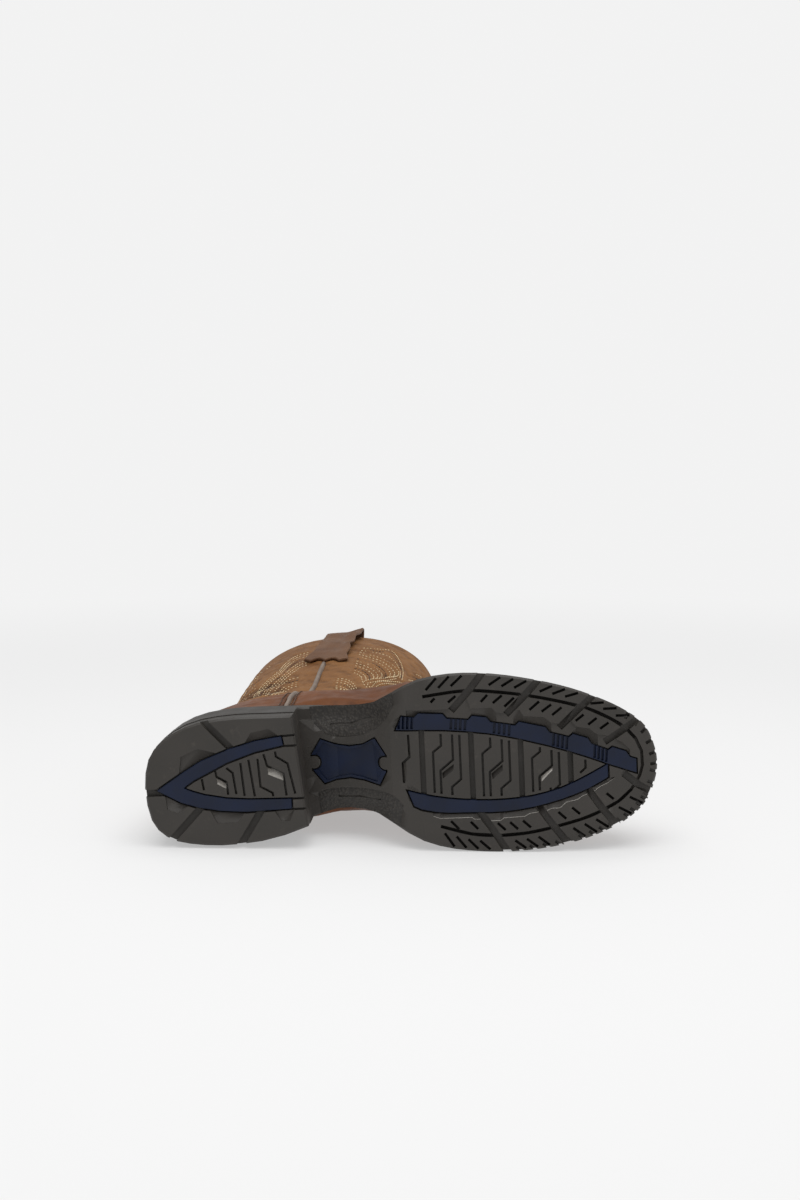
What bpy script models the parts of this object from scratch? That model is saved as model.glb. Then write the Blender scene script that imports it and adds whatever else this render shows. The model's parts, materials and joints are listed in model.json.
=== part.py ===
"""Right western work boot with a moulded rubber unit sole, lying on its medial side.

The boot is modelled standing, and lay_on_side then turns it over. Every point is written as
(along, lateral, up): along runs from the heel's back to the toe, up from the tread, and lateral
is positive towards the outer side of the right foot. Lengths are metres. Tables hold lengths as
shares of the named sizes.
"""
import math
from collections import namedtuple

import bmesh
import bpy
import numpy as np
from mathutils import Matrix, Vector

# Driving sizes
SOLE_LENGTH = 0.310
BALL_WIDTH = 0.109
SHAFT_RISE = 0.2515
SEAT_HEIGHT = 0.0385
BREAST_HEIGHT = 0.027
FOREPART_THICKNESS = 0.0145
TOE_SPRING = 0.014
RIM_DIP = 0.020

# Walls, gaps and small features
LEATHER = 0.0022
OVERLAY = 0.0013
JOINT_GAP = 0.0003
SEAT_GAP = 0.0005
TREAD_CHAMFER = 0.0012
LIFT_HEIGHT = 0.011
LIFT_LEDGE = 0.0005
FEATHER_TUCK = 0.003
FLANK_RISE = 0.005
CHANNEL_DEPTH = 0.0042
INSERT_MARGIN = 0.0009
INSERT_RECESS = 0.0005
GROOVE_DEPTH = 0.0036
SIPE_DEPTH = 0.003
SLIT_DEPTH = 0.0034
POCKET_DEPTH = 0.0014
SCOOP_SLIT_DEPTH = 0.002
WIDE_GROOVE = 0.0044
CENTRE_GROOVE = 0.0034
NARROW_GROOVE = 0.0014
SLIT_WIDTH = 0.0019
NOTCH_WIDTH = 0.0018
TOOTH_HEIGHT = 0.0027
TOOTH_FLANK = 0.0024
PLATE_NOTCH_RADIUS = 0.0048
PIPING_WIDTH = 0.0032
PIPING_HEIGHT = 0.0024
STRAP_WIDTH = 0.029
STRAP_FLARE = 0.003
STRAP_THICKNESS = 0.002
STRAP_GAP = 0.0008
STRAP_SCALLOP = 0.003
LOOP_HEIGHT = 0.008
INSOLE_THICKNESS = 0.0035
INSOLE_CLEARANCE = 0.0010
CUTTER_REACH = 0.006

# The breast is the front face of the heel; its line crosses the sole at a slight skew
BREAST = 0.307
BREAST_SKEW = -0.097
SKEW_REACH = 0.13
TUCK_RUN = 0.13

# Sole outline at the tread: station along the sole, then distance out on each side
Outline = namedtuple("Outline", "station lateral medial")
OUTLINE = (
    Outline(0.000, -0.028, 0.028),
    Outline(0.008, 0.119, 0.198),
    Outline(0.042, 0.239, 0.314),
    Outline(0.097, 0.317, 0.356),
    Outline(0.177, 0.349, 0.363),
    Outline(0.258, 0.349, 0.330),
    Outline(0.316, 0.350, 0.275),
    Outline(0.361, 0.356, 0.234),
    Outline(0.410, 0.361, 0.228),
    Outline(0.452, 0.385, 0.250),
    Outline(0.484, 0.439, 0.294),
    Outline(0.529, 0.509, 0.367),
    Outline(0.577, 0.539, 0.417),
    Outline(0.629, 0.547, 0.443),
    Outline(0.684, 0.536, 0.455),
    Outline(0.755, 0.500, 0.450),
    Outline(0.826, 0.445, 0.424),
    Outline(0.890, 0.371, 0.374),
    Outline(0.942, 0.289, 0.306),
    Outline(0.981, 0.186, 0.200),
    Outline(0.995, 0.086, 0.101),
    Outline(1.000, -0.009, 0.009),
)

# Heights along the sole: tread as a share of the breast height, seat as a share of the seat
# height against the forepart's, and how far the waist's flanks lift
Profile = namedtuple("Profile", "station tread seat flank")
PROFILE = (
    Profile(0.00, 1.00, 1.02, 0.0),
    Profile(0.12, 1.00, 1.00, 0.0),
    Profile(0.28, 1.00, 0.97, 0.0),
    Profile(0.335, 0.92, 0.90, 0.8),
    Profile(0.39, 0.78, 0.76, 1.0),
    Profile(0.44, 0.53, 0.53, 0.9),
    Profile(0.49, 0.17, 0.28, 0.2),
    Profile(0.53, 0.00, 0.15, 0.0),
    Profile(0.60, 0.00, 0.03, 0.0),
    Profile(0.68, 0.00, 0.00, 0.0),
    Profile(1.00, 0.00, 0.00, 0.0),
)
SPRING_START = 0.694
SPINE_LATERAL = 0.185
SPINE_MEDIAL = 0.100
FLANK_RUN = 0.14

# Inner and outer edge of the two long forefoot inserts; outwards is positive on each side
Band = namedtuple("Band", "station inner outer")
LATERAL_BAND = (
    Band(0.494, 0.239, 0.314),
    Band(0.548, 0.241, 0.305),
    Band(0.613, 0.229, 0.291),
    Band(0.681, 0.204, 0.266),
    Band(0.748, 0.160, 0.229),
    Band(0.806, 0.110, 0.183),
    Band(0.858, 0.057, 0.134),
    Band(0.906, 0.000, 0.075),
    Band(0.958, -0.058, 0.018),
)
MEDIAL_BAND = (
    Band(0.512, 0.098, 0.185),
    Band(0.568, 0.136, 0.222),
    Band(0.632, 0.159, 0.229),
    Band(0.697, 0.164, 0.231),
    Band(0.761, 0.147, 0.209),
    Band(0.819, 0.105, 0.170),
    Band(0.871, 0.041, 0.117),
    Band(0.902, -0.002, 0.072),
)
BAND_STEP = 0.027
BAND_SLANT = 0.012

Tooth = namedtuple("Tooth", "start end")
TEETH = (
    Tooth(0.535, 0.590),
    Tooth(0.639, 0.674),
    Tooth(0.729, 0.787),
    Tooth(0.832, 0.868),
    Tooth(0.908, 0.942),
)

# V insert of the heel, from the end of one arm round the point to the end of the other
Arm = namedtuple("Arm", "outer_station outer_lateral inner_station inner_lateral")
HEEL_V = (
    Arm(0.272, 0.235, 0.275, 0.183),
    Arm(0.219, 0.213, 0.218, 0.150),
    Arm(0.166, 0.172, 0.164, 0.098),
    Arm(0.112, 0.113, 0.123, 0.040),
    Arm(0.071, 0.044, 0.096, 0.003),
    Arm(0.022, -0.045, 0.076, -0.036),
    Arm(0.069, -0.117, 0.094, -0.057),
    Arm(0.105, -0.150, 0.116, -0.077),
    Arm(0.145, -0.170, 0.159, -0.101),
    Arm(0.197, -0.182, 0.203, -0.111),
    Arm(0.286, -0.172, 0.286, -0.115),
)

# Waist plate: its lateral and medial edges at stations along it, and the notch at each end
Plate = namedtuple("Plate", "lateral_station lateral medial_station medial")
PLATE = (
    Plate(0.321, 0.088, 0.323, -0.004),
    Plate(0.340, 0.171, 0.345, -0.079),
    Plate(0.368, 0.143, 0.368, -0.055),
    Plate(0.398, 0.132, 0.398, -0.042),
    Plate(0.426, 0.146, 0.426, -0.052),
    Plate(0.450, 0.183, 0.457, -0.075),
    Plate(0.471, 0.092, 0.471, 0.002),
)
PLATE_NOTCHES = ((0.325, 0.041), (0.470, 0.048))

# Grooves, each a run of (station, lateral) points, grouped by width
FOREPART_WIDE = (
    ((0.603, 0.339), (0.635, 0.436), (0.674, 0.569)),
    ((0.708, 0.307), (0.742, 0.399), (0.794, 0.550)),
    ((0.810, 0.220), (0.848, 0.317), (0.906, 0.450)),
    ((0.897, 0.124), (0.935, 0.188), (0.997, 0.303)),
    ((0.648, -0.220), (0.671, -0.312), (0.710, -0.495)),
    ((0.761, -0.193), (0.787, -0.303), (0.832, -0.477)),
    ((0.858, -0.115), (0.887, -0.239), (0.929, -0.394)),
    ((0.932, -0.055), (0.961, -0.128), (1.006, -0.211)),
)
SLIT = (
    (0.549, 0.424), (0.612, 0.445), (0.655, 0.446), (0.719, 0.424), (0.772, 0.395),
    (0.824, 0.357), (0.869, 0.315), (0.911, 0.252), (0.938, 0.197), (0.958, 0.133),
    (0.969, 0.060), (0.970, -0.018), (0.964, -0.075), (0.946, -0.150), (0.920, -0.210),
    (0.884, -0.258), (0.848, -0.293), (0.786, -0.333), (0.740, -0.354), (0.686, -0.362),
    (0.633, -0.348), (0.574, -0.300),
)
SCOOP_SLITS = (
    ((0.361, 0.252), (0.403, 0.257), (0.445, 0.294)),
    ((0.371, -0.156), (0.413, -0.151), (0.458, -0.161)),
)
HEEL_WIDE = (
    ((0.174, 0.174), (0.123, 0.330), (0.107, 0.380)),
    ((-0.012, -0.057), (0.035, -0.055)),
    ((0.110, -0.142), (0.058, -0.294), (0.040, -0.347)),
    ((0.227, -0.170), (0.189, -0.335), (0.175, -0.396)),
)
HEEL_ZIGZAGS = (
    ((0.113, 0.014), (0.116, -0.050)),
    ((0.140, 0.058), (0.142, 0.023), (0.161, -0.009), (0.163, -0.080)),
    ((0.162, 0.070), (0.174, 0.041), (0.179, -0.078)),
    ((0.190, 0.095), (0.195, -0.090)),
    ((0.206, 0.112), (0.215, -0.095)),
    ((0.224, 0.115), (0.227, -0.041), (0.250, -0.078), (0.251, -0.098)),
    ((0.236, 0.140), (0.242, 0.073), (0.273, 0.028), (0.277, -0.096)),
    ((0.259, 0.152), (0.260, 0.124), (0.282, 0.083), (0.294, -0.087)),
)
HEEL_TAILS = (
    ((0.268, 0.236), (0.303, 0.241)),
    ((0.268, 0.181), (0.306, 0.182)),
    ((0.282, -0.114), (0.322, -0.113)),
    ((0.282, -0.173), (0.330, -0.172)),
)

# Shallow pockets beside the V: the corners of each, its first and last inside the V's channel
HEEL_POCKETS = (
    ((0.068, 0.030), (0.074, 0.142), (0.108, 0.183), (0.150, 0.150)),
    ((0.197, 0.190), (0.213, 0.261), (0.248, 0.280), (0.273, 0.225)),
    ((0.039, -0.070), (0.042, -0.151), (0.061, -0.174), (0.087, -0.130)),
    ((0.123, -0.150), (0.139, -0.239), (0.177, -0.239), (0.198, -0.170)),
    ((0.248, -0.165), (0.265, -0.239), (0.281, -0.239), (0.292, -0.170)),
)

# Centre field: transverse grooves at an even pitch, with three zigzag grooves between each pair
CENTRE_START = 0.544
CENTRE_PITCH = 0.095
CENTRE_SHIFTS = (0.0, -0.018, -0.055)
FIELD_MARGIN = 0.022
Zigzag = namedtuple("Zigzag", "upper_step lower_step upper_knee lower_knee")
ZIGZAGS = (
    Zigzag(0.037, 0.021, 0.150, 0.115),
    Zigzag(0.059, 0.034, 0.069, 0.012),
    Zigzag(0.073, 0.055, -0.040, -0.082),
)
END_ZIGZAGS = (
    ((0.518, 0.215), (0.519, 0.092), (0.505, 0.055), (0.506, -0.055)),
    ((0.858, 0.036), (0.858, -0.010), (0.847, -0.036)),
)

# Notches along the tread's medial and toe edge: stations of the first and last, and how many
NOTCH_FIRST = 0.730
NOTCH_LAST = 0.985
NOTCH_COUNT = 15
NOTCH_LEAN = 0.012
NOTCH_INNER = 0.026
NOTCH_OUTER = 0.030

# Upper, ring by ring from the feather line to the rim. Each ring is a nearly plane section from
# back to front: where it starts and ends, how far it rises there, its half-widths, where it is
# widest, how far its centre leans sideways at back and front, how much it keeps of the sole's
# outline, where the side seam crosses it and how much of the rim's dip it has
Ring = namedtuple(
    "Ring", "back back_rise front front_rise lateral medial belly back_lean front_lean sole seam dip")
RINGS = (
    Ring(0.0140, 0.000, 0.980, 0.000, 0.440, 0.400, 0.60, 0.00, -0.01, 1.00, 0.262, 0.0),
    Ring(0.0100, 0.036, 0.986, 0.037, 0.440, 0.400, 0.59, 0.00, -0.01, 0.96, 0.264, 0.0),
    Ring(0.0105, 0.076, 0.972, 0.072, 0.430, 0.395, 0.55, 0.00, -0.01, 0.84, 0.268, 0.0),
    Ring(0.0145, 0.115, 0.936, 0.103, 0.415, 0.372, 0.50, 0.00, -0.02, 0.62, 0.275, 0.0),
    Ring(0.0210, 0.155, 0.878, 0.127, 0.395, 0.357, 0.46, 0.00, -0.03, 0.40, 0.290, 0.0),
    Ring(0.0290, 0.199, 0.807, 0.145, 0.380, 0.344, 0.44, 0.00, -0.03, 0.22, 0.312, 0.0),
    Ring(0.0370, 0.246, 0.732, 0.175, 0.354, 0.333, 0.43, 0.00, -0.03, 0.10, 0.342, 0.0),
    Ring(0.0460, 0.294, 0.661, 0.215, 0.332, 0.328, 0.44, 0.00, -0.03, 0.04, 0.380, 0.0),
    Ring(0.0580, 0.342, 0.590, 0.268, 0.306, 0.328, 0.48, 0.01, -0.02, 0.00, 0.428, 0.0),
    Ring(0.0690, 0.390, 0.532, 0.332, 0.300, 0.334, 0.52, 0.02, 0.00, 0.00, 0.480, 0.0),
    Ring(0.0775, 0.445, 0.497, 0.396, 0.306, 0.348, 0.52, 0.03, 0.02, 0.00, 0.520, 0.0),
    Ring(0.0830, 0.509, 0.485, 0.475, 0.322, 0.364, 0.53, 0.04, 0.04, 0.00, 0.535, 0.0),
    Ring(0.0860, 0.588, 0.492, 0.570, 0.348, 0.380, 0.54, 0.06, 0.06, 0.00, 0.535, 0.0),
    Ring(0.0880, 0.690, 0.510, 0.668, 0.372, 0.388, 0.54, 0.08, 0.08, 0.00, 0.528, 0.2),
    Ring(0.0900, 0.800, 0.532, 0.785, 0.384, 0.390, 0.53, 0.10, 0.10, 0.00, 0.521, 0.55),
    Ring(0.0930, 0.920, 0.553, 0.920, 0.382, 0.384, 0.52, 0.12, 0.12, 0.00, 0.516, 1.0),
)
RIM_ROW = len(RINGS) - 1
EGG_POWER = 2.2

# Inset of the upper from the sole's edge, and the fullness of the foot over the waist
Inset = namedtuple("Inset", "station inset fullness")
INSETS = (
    Inset(0.00, 0.034, 0.0),
    Inset(0.12, 0.031, 0.0),
    Inset(0.27, 0.028, 0.3),
    Inset(0.36, 0.030, 0.8),
    Inset(0.43, 0.055, 0.8),
    Inset(0.50, 0.090, 0.3),
    Inset(0.57, 0.072, 0.0),
    Inset(0.65, 0.065, 0.0),
    Inset(1.00, 0.060, 0.0),
)
LATERAL_FULLNESS = 0.050
MEDIAL_FULLNESS = 0.075

# Top edges of the two overlays: share of the way from the side seam to the middle, upper row
Edge = namedtuple("Edge", "share row")
VAMP_TOP = (Edge(0.0, 7.0), Edge(0.30, 7.1), Edge(0.50, 7.7), Edge(0.66, 9.3), Edge(0.80, 11.4),
            Edge(0.92, 12.4), Edge(1.0, 12.6))
COUNTER_TOP = (Edge(0.0, 7.0), Edge(0.45, 7.15), Edge(0.75, 7.7), Edge(1.0, 8.1))
SEAM_CLEARANCE = 0.0006

# Rows of the upper at which a pull strap is shaped, up the outside and down the inside, and the
# row where the piping ends under it
STRAP_OUTSIDE_ROWS = (12.35, 12.8, 13.4, 14.0, 14.6, RIM_ROW)
STRAP_INSIDE_ROWS = (RIM_ROW, 14.4, 13.8, 13.3)
STRAP_BOTTOM_ROW = STRAP_OUTSIDE_ROWS[0]
STRAP_SCALLOPS = 1.5
PIPING_TOP_ROW = 12.1
PIPING_PROFILE = ((-0.5, 0.0), (-0.36, 0.7), (0.0, 1.0), (0.36, 0.7), (0.5, 0.0))

# How finely curved forms are divided, and the sharpest mitre as the cosine of its half turn
SHARPEST_MITRE = 0.5
NOTCH_SIDES = 16
SMALL_ROW = 0.05
SMALL_ANGLE = 0.02
EVEN_SPREAD = 0.65
SHARP_EDGE = math.radians(35)
HEEL_STATIONS = 13
FORE_STATIONS = 34
ACROSS = 9
FRONT_COLUMNS = 32
BACK_COLUMNS = 12
STRAP_COLUMNS = 6
LOOP_STEPS = 4
INSOLE_STATIONS = 37
FOOT_LEVELS = 13
SHAFT_LEVELS = 6

Colour = namedtuple("Colour", "red green blue roughness")
RUBBER = Colour(0.045, 0.040, 0.036, 0.75)
NAVY = Colour(0.030, 0.040, 0.080, 0.50)
FOOT_LEATHER = Colour(0.210, 0.105, 0.050, 0.50)
SHAFT_LEATHER = Colour(0.230, 0.135, 0.070, 0.60)
TRIM = Colour(0.300, 0.250, 0.210, 0.60)
BOARD = Colour(0.350, 0.280, 0.200, 0.85)


def curve(stations, values, at):
    """Smooth curve through one column of a table, read at the given stations."""
    stations, values = np.asarray(stations, float), np.asarray(values, float)
    at = np.clip(np.asarray(at, float), stations[0], stations[-1])
    step = np.diff(stations)
    slope = np.diff(values) / step
    inner = (slope[:-1] * step[1:] + slope[1:] * step[:-1]) / (step[:-1] + step[1:])
    tangent = np.concatenate([slope[:1], inner, slope[-1:]])
    cell = np.clip(np.searchsorted(stations, at) - 1, 0, len(step) - 1)
    share = (at - stations[cell]) / step[cell]
    rest = 1 - share
    return (values[cell] * (1 + 2 * share) * rest ** 2
            + values[cell + 1] * (3 - 2 * share) * share ** 2
            + step[cell] * share * rest * (tangent[cell] * rest - tangent[cell + 1] * share))


def column(table, name):
    return [getattr(row, name) for row in table]


def smooth_step(value):
    value = np.clip(value, 0.0, 1.0)
    return value * value * (3 - 2 * value)


def round_station(station):
    """Angle of a station on a half circle, which keeps round ends round."""
    return np.arccos(np.clip(1 - 2 * np.asarray(station, float), -1, 1))


def outline_width(station, side):
    """Distance of the sole's edge from the boot's axis, outwards positive."""
    turns = round_station(column(OUTLINE, "station"))
    return BALL_WIDTH * curve(turns, column(OUTLINE, side), round_station(station))


def spring(along):
    share = np.clip((np.asarray(along) / SOLE_LENGTH - SPRING_START) / (1 - SPRING_START), 0, 1.2)
    return TOE_SPRING * share ** 2


def feather_height(along):
    """Top of the sole, where the upper meets it."""
    seat = curve(column(PROFILE, "station"), column(PROFILE, "seat"), np.asarray(along) / SOLE_LENGTH)
    return seat * SEAT_HEIGHT + (1 - seat) * FOREPART_THICKNESS + spring(along)


def tread_height(along, lateral):
    """Underside of the waist and forepart."""
    station = np.asarray(along) / SOLE_LENGTH
    stations = column(PROFILE, "station")
    side = np.asarray(lateral) / BALL_WIDTH
    off_spine = np.maximum(side - SPINE_LATERAL, -side - SPINE_MEDIAL) / FLANK_RUN
    flank = np.maximum(curve(stations, column(PROFILE, "flank"), station), 0) * smooth_step(off_spine)
    waist = np.maximum(curve(stations, column(PROFILE, "tread"), station), 0)
    return BREAST_HEIGHT * waist + FLANK_RISE * flank + spring(along)


def flat_height(height):
    return lambda along, lateral: height + 0 * np.asarray(along)


def raised(surface, distance):
    return lambda along, lateral: surface(along, lateral) + distance


def skewed(station, lateral):
    """Station moved so that the breast's line runs at its skew."""
    near = np.clip(1 - abs(station - BREAST) / SKEW_REACH, 0, 1)
    return station - BREAST_SKEW * near * (-lateral / SOLE_LENGTH)


def edge_rows(stations, grow, skew=True):
    """Points of the sole's edge at the stations, lateral row and medial row, moved out by grow."""
    rows = []
    for side, sign in (("lateral", 1), ("medial", -1)):
        lateral = sign * outline_width(stations, side)
        moved = np.array(stations, float)
        if skew:
            for _ in range(4):
                moved = np.array([skewed(s, y) for s, y in zip(stations, lateral)])
                lateral = sign * outline_width(moved, side)
        rows.append(np.stack([moved * SOLE_LENGTH, lateral], axis=1))
    lateral_row, medial_row = rows
    loop = np.concatenate([lateral_row, medial_row[-2:0:-1]])
    loop = grown(loop, grow)
    count = len(stations)
    back = loop[count:][::-1]
    return loop[:count], np.concatenate([loop[:1], back, loop[count - 1:count]])


def grown(loop, grow):
    """Closed loop of plan points moved outwards along the mean normal of its edges."""
    loop = np.asarray(loop, float)
    if not np.any(grow):
        return loop
    before, after = np.roll(loop, 1, axis=0), np.roll(loop, -1, axis=0)
    area = np.sum(loop[:, 0] * after[:, 1] - after[:, 0] * loop[:, 1])
    turn = 1.0 if area > 0 else -1.0
    first, second = loop - before, after - loop
    first /= np.linalg.norm(first, axis=1, keepdims=True)
    second /= np.linalg.norm(second, axis=1, keepdims=True)
    normals = [np.stack([edge[:, 1], -edge[:, 0]], axis=1) * turn for edge in (first, second)]
    mean = normals[0] + normals[1]
    mean /= np.linalg.norm(mean, axis=1, keepdims=True)
    mitre = np.clip(np.sum(mean * normals[0], axis=1, keepdims=True), SHARPEST_MITRE, 1)
    return loop + mean / mitre * np.reshape(grow, (-1, 1))


def new_material(name, colour):
    material = bpy.data.materials.new(name)
    material.use_nodes = True
    shader = material.node_tree.nodes["Principled BSDF"]
    shader.inputs["Base Color"].default_value = (colour.red, colour.green, colour.blue, 1)
    shader.inputs["Roughness"].default_value = colour.roughness
    shader.inputs["Metallic"].default_value = 0.0
    material.diffuse_color = (colour.red, colour.green, colour.blue, 1)
    return material


def add_body(name, points, faces, material=None):
    """One object from points written as (along, lateral, up)."""
    mesh = bpy.data.meshes.new(name)
    shape = bmesh.new()
    corners = [shape.verts.new((along, -lateral, up)) for along, lateral, up in points]
    for face in faces:
        shape.faces.new([corners[index] for index in face])
    bmesh.ops.recalc_face_normals(shape, faces=shape.faces)
    shape.to_mesh(mesh)
    shape.free()
    mesh.shade_smooth()
    mesh.set_sharp_from_angle(angle=SHARP_EDGE)
    body = bpy.data.objects.new(name, mesh)
    bpy.context.scene.collection.objects.link(body)
    if material:
        mesh.materials.append(material)
    else:
        body.hide_render = True
        body.display_type = "WIRE"
    return body


def cut(body, cutters):
    for cutter in cutters:
        modifier = body.modifiers.new("cut_" + cutter.name, "BOOLEAN")
        modifier.operation = "DIFFERENCE"
        modifier.solver = "EXACT"
        modifier.object = cutter


class Shape:
    """Points and faces of one body, gathered piece by piece."""

    def __init__(self):
        self.points = []
        self.faces = []

    def add(self, along, lateral, up):
        self.points.append((float(along), float(lateral), float(up)))
        return len(self.points) - 1

    def strip(self, pairs, low, high):
        """Closed body over a run of plan point pairs, between two surfaces."""
        rings = []
        for left, right in pairs:
            corners = ((spot, height) for height in (low, high) for spot in (left, right))
            rings.append([self.add(*spot, height(*spot)) for spot, height in corners])
        for (a, b, c, d), (e, f, g, h) in zip(rings, rings[1:]):
            self.faces += [(a, b, f, e), (c, g, h, d), (a, e, g, c), (b, d, h, f)]
        for a, b, c, d in (rings[0], rings[-1]):
            self.faces.append((a, c, d, b))

    def plate(self, corners, low, high):
        """Closed body over a flat polygon, between two surfaces."""
        under = [self.add(*spot, low(*spot)) for spot in corners]
        over = [self.add(*spot, high(*spot)) for spot in corners]
        self.faces += [tuple(under), tuple(over)]
        for index in range(len(corners)):
            after = (index + 1) % len(corners)
            self.faces.append((under[index], under[after], over[after], over[index]))


def plan(points):
    """Plan points in metres from (station, lateral) shares."""
    return np.array([(station * SOLE_LENGTH, lateral * BALL_WIDTH) for station, lateral in points])


def path_pairs(points, width):
    """Left and right points along a run of plan points, at mitred corners."""
    points = np.asarray(points, float)
    steps = np.diff(points, axis=0)
    steps /= np.linalg.norm(steps, axis=1, keepdims=True)
    sides = np.stack([-steps[:, 1], steps[:, 0]], axis=1)
    mean = np.concatenate([sides[:1], sides[:-1] + sides[1:], sides[-1:]])
    mean /= np.linalg.norm(mean, axis=1, keepdims=True)
    square = np.concatenate([sides[:1], sides])
    mitre = np.clip(np.sum(mean * square, axis=1, keepdims=True), SHARPEST_MITRE, 1)
    offset = mean / mitre * width / 2
    return list(zip(points - offset, points + offset))


def groove_cutter(name, paths, width, surface, depth):
    shape = Shape()
    for path in paths:
        shape.strip(path_pairs(plan(path), width), raised(surface, -CUTTER_REACH), raised(surface, depth))
    return add_body(name, shape.points, shape.faces)


def grown_pairs(pairs, grow):
    """Point pairs moved apart, and out at both ends, by grow."""
    count = len(pairs)
    left = [pair[0] for pair in pairs]
    right = [pair[1] for pair in pairs]
    loop = grown(np.array(left + right[::-1]), grow)
    return list(zip(loop[:count], loop[count:][::-1]))


def band_pairs(table, side, teeth, grow):
    """Point pairs across a long insert, with slanted ends and any teeth on its outer edge."""
    sign = 1 if side == "lateral" else -1
    stations = column(table, "station")
    flank = TOOTH_FLANK / SOLE_LENGTH
    breaks = list(np.arange(stations[0], stations[-1], BAND_STEP)) + [stations[-1]]
    for tooth in teeth:
        inside = [spot for spot in breaks if tooth.start - flank < spot < tooth.end + flank]
        breaks = [spot for spot in breaks if spot not in inside]
        breaks += [tooth.start - flank / 2, tooth.start + flank / 2,
                   tooth.end - flank / 2, tooth.end + flank / 2]
    pairs = []
    for station in sorted(breaks):
        tooth_rise = max([smooth_tooth(station, tooth, flank) for tooth in teeth], default=0.0)
        inner = float(curve(stations, column(table, "inner"), station)) * BALL_WIDTH
        outer = float(curve(stations, column(table, "outer"), station)) * BALL_WIDTH
        slant = BAND_SLANT * max(0.0, 1 - (station - stations[0]) / BAND_SLANT) * SOLE_LENGTH
        along = station * SOLE_LENGTH
        pairs.append(((along, sign * inner), (along + slant, sign * (outer + tooth_rise * TOOTH_HEIGHT))))
    return grown_pairs([(np.array(a), np.array(b)) for a, b in pairs], grow)


def smooth_tooth(station, tooth, flank):
    """How much of a tooth's height stands at a station."""
    rise = (station - tooth.start) / flank + 0.5
    fall = (tooth.end - station) / flank + 0.5
    return float(np.clip(min(rise, fall), 0, 1))


def heel_v_pairs(grow):
    outer = plan([(row.outer_station, row.outer_lateral) for row in HEEL_V])
    inner = plan([(row.inner_station, row.inner_lateral) for row in HEEL_V])
    return grown_pairs(list(zip(outer, inner)), grow)


def plate_pairs(grow):
    lateral = plan([(row.lateral_station, row.lateral) for row in PLATE])
    medial = plan([(row.medial_station, row.medial) for row in PLATE])
    return grown_pairs(list(zip(lateral, medial)), grow)


def plate_notches(name, radius):
    """Round posts that cut the notch at each end of the waist plate."""
    shape = Shape()
    for centre in plan(PLATE_NOTCHES):
        turns = np.linspace(0, 2 * math.pi, NOTCH_SIDES, endpoint=False)
        corners = centre + radius * np.stack([np.cos(turns), np.sin(turns)], axis=1)
        shape.plate(corners, flat_height(-CUTTER_REACH), flat_height(SEAT_HEIGHT))
    return add_body(name, shape.points, shape.faces)


def insert_body(name, pairs, surface, material):
    """A navy insert: fills its channel up to just below the tread."""
    shape = Shape()
    shape.strip(pairs, raised(surface, INSERT_RECESS), raised(surface, CHANNEL_DEPTH - JOINT_GAP))
    return add_body(name, shape.points, shape.faces, material)


def channel_body(name, pairs, surface):
    shape = Shape()
    shape.strip(pairs, raised(surface, -CUTTER_REACH), raised(surface, CHANNEL_DEPTH))
    return add_body(name, shape.points, shape.faces)


def sole_stations():
    """Stations of the heel and of the rest, which share the breast's station."""
    turn = float(round_station(BREAST))
    heel = (1 - np.cos(np.linspace(0, turn, HEEL_STATIONS))) / 2
    fore = (1 - np.cos(np.linspace(turn, math.pi, FORE_STATIONS))) / 2
    return heel, fore


def underside_rows(shape, edge, inner, surface, spread):
    """Rows of points across the sole, each from its lateral edge over the tread to its medial one."""
    rows = []
    for lateral_id, medial_id, lateral_spot, medial_spot in zip(*edge, *inner):
        tip = lateral_id == medial_id
        shares = [0.0] if tip else spread
        spots = [lateral_spot + share * (medial_spot - lateral_spot) for share in shares]
        row = [shape.add(*spot, surface(*spot)) for spot in spots]
        rows.append([lateral_id] + row + ([] if tip else [medial_id]))
    return rows


def bridge(shape, first, second):
    """Faces between two rows of points; a row of one point is the tip of the sole."""
    if len(first) == len(second):
        for index in range(len(first) - 1):
            shape.faces.append((first[index], first[index + 1], second[index + 1], second[index]))
        return
    tip, row = (first, second) if len(first) < len(second) else (second, first)
    edge_tip, inner_tip = tip
    shape.faces.append((inner_tip,) + tuple(row[1:-1]))
    shape.faces.append((edge_tip, row[0], row[1], inner_tip))
    shape.faces.append((edge_tip, inner_tip, row[-2], row[-1]))


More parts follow.
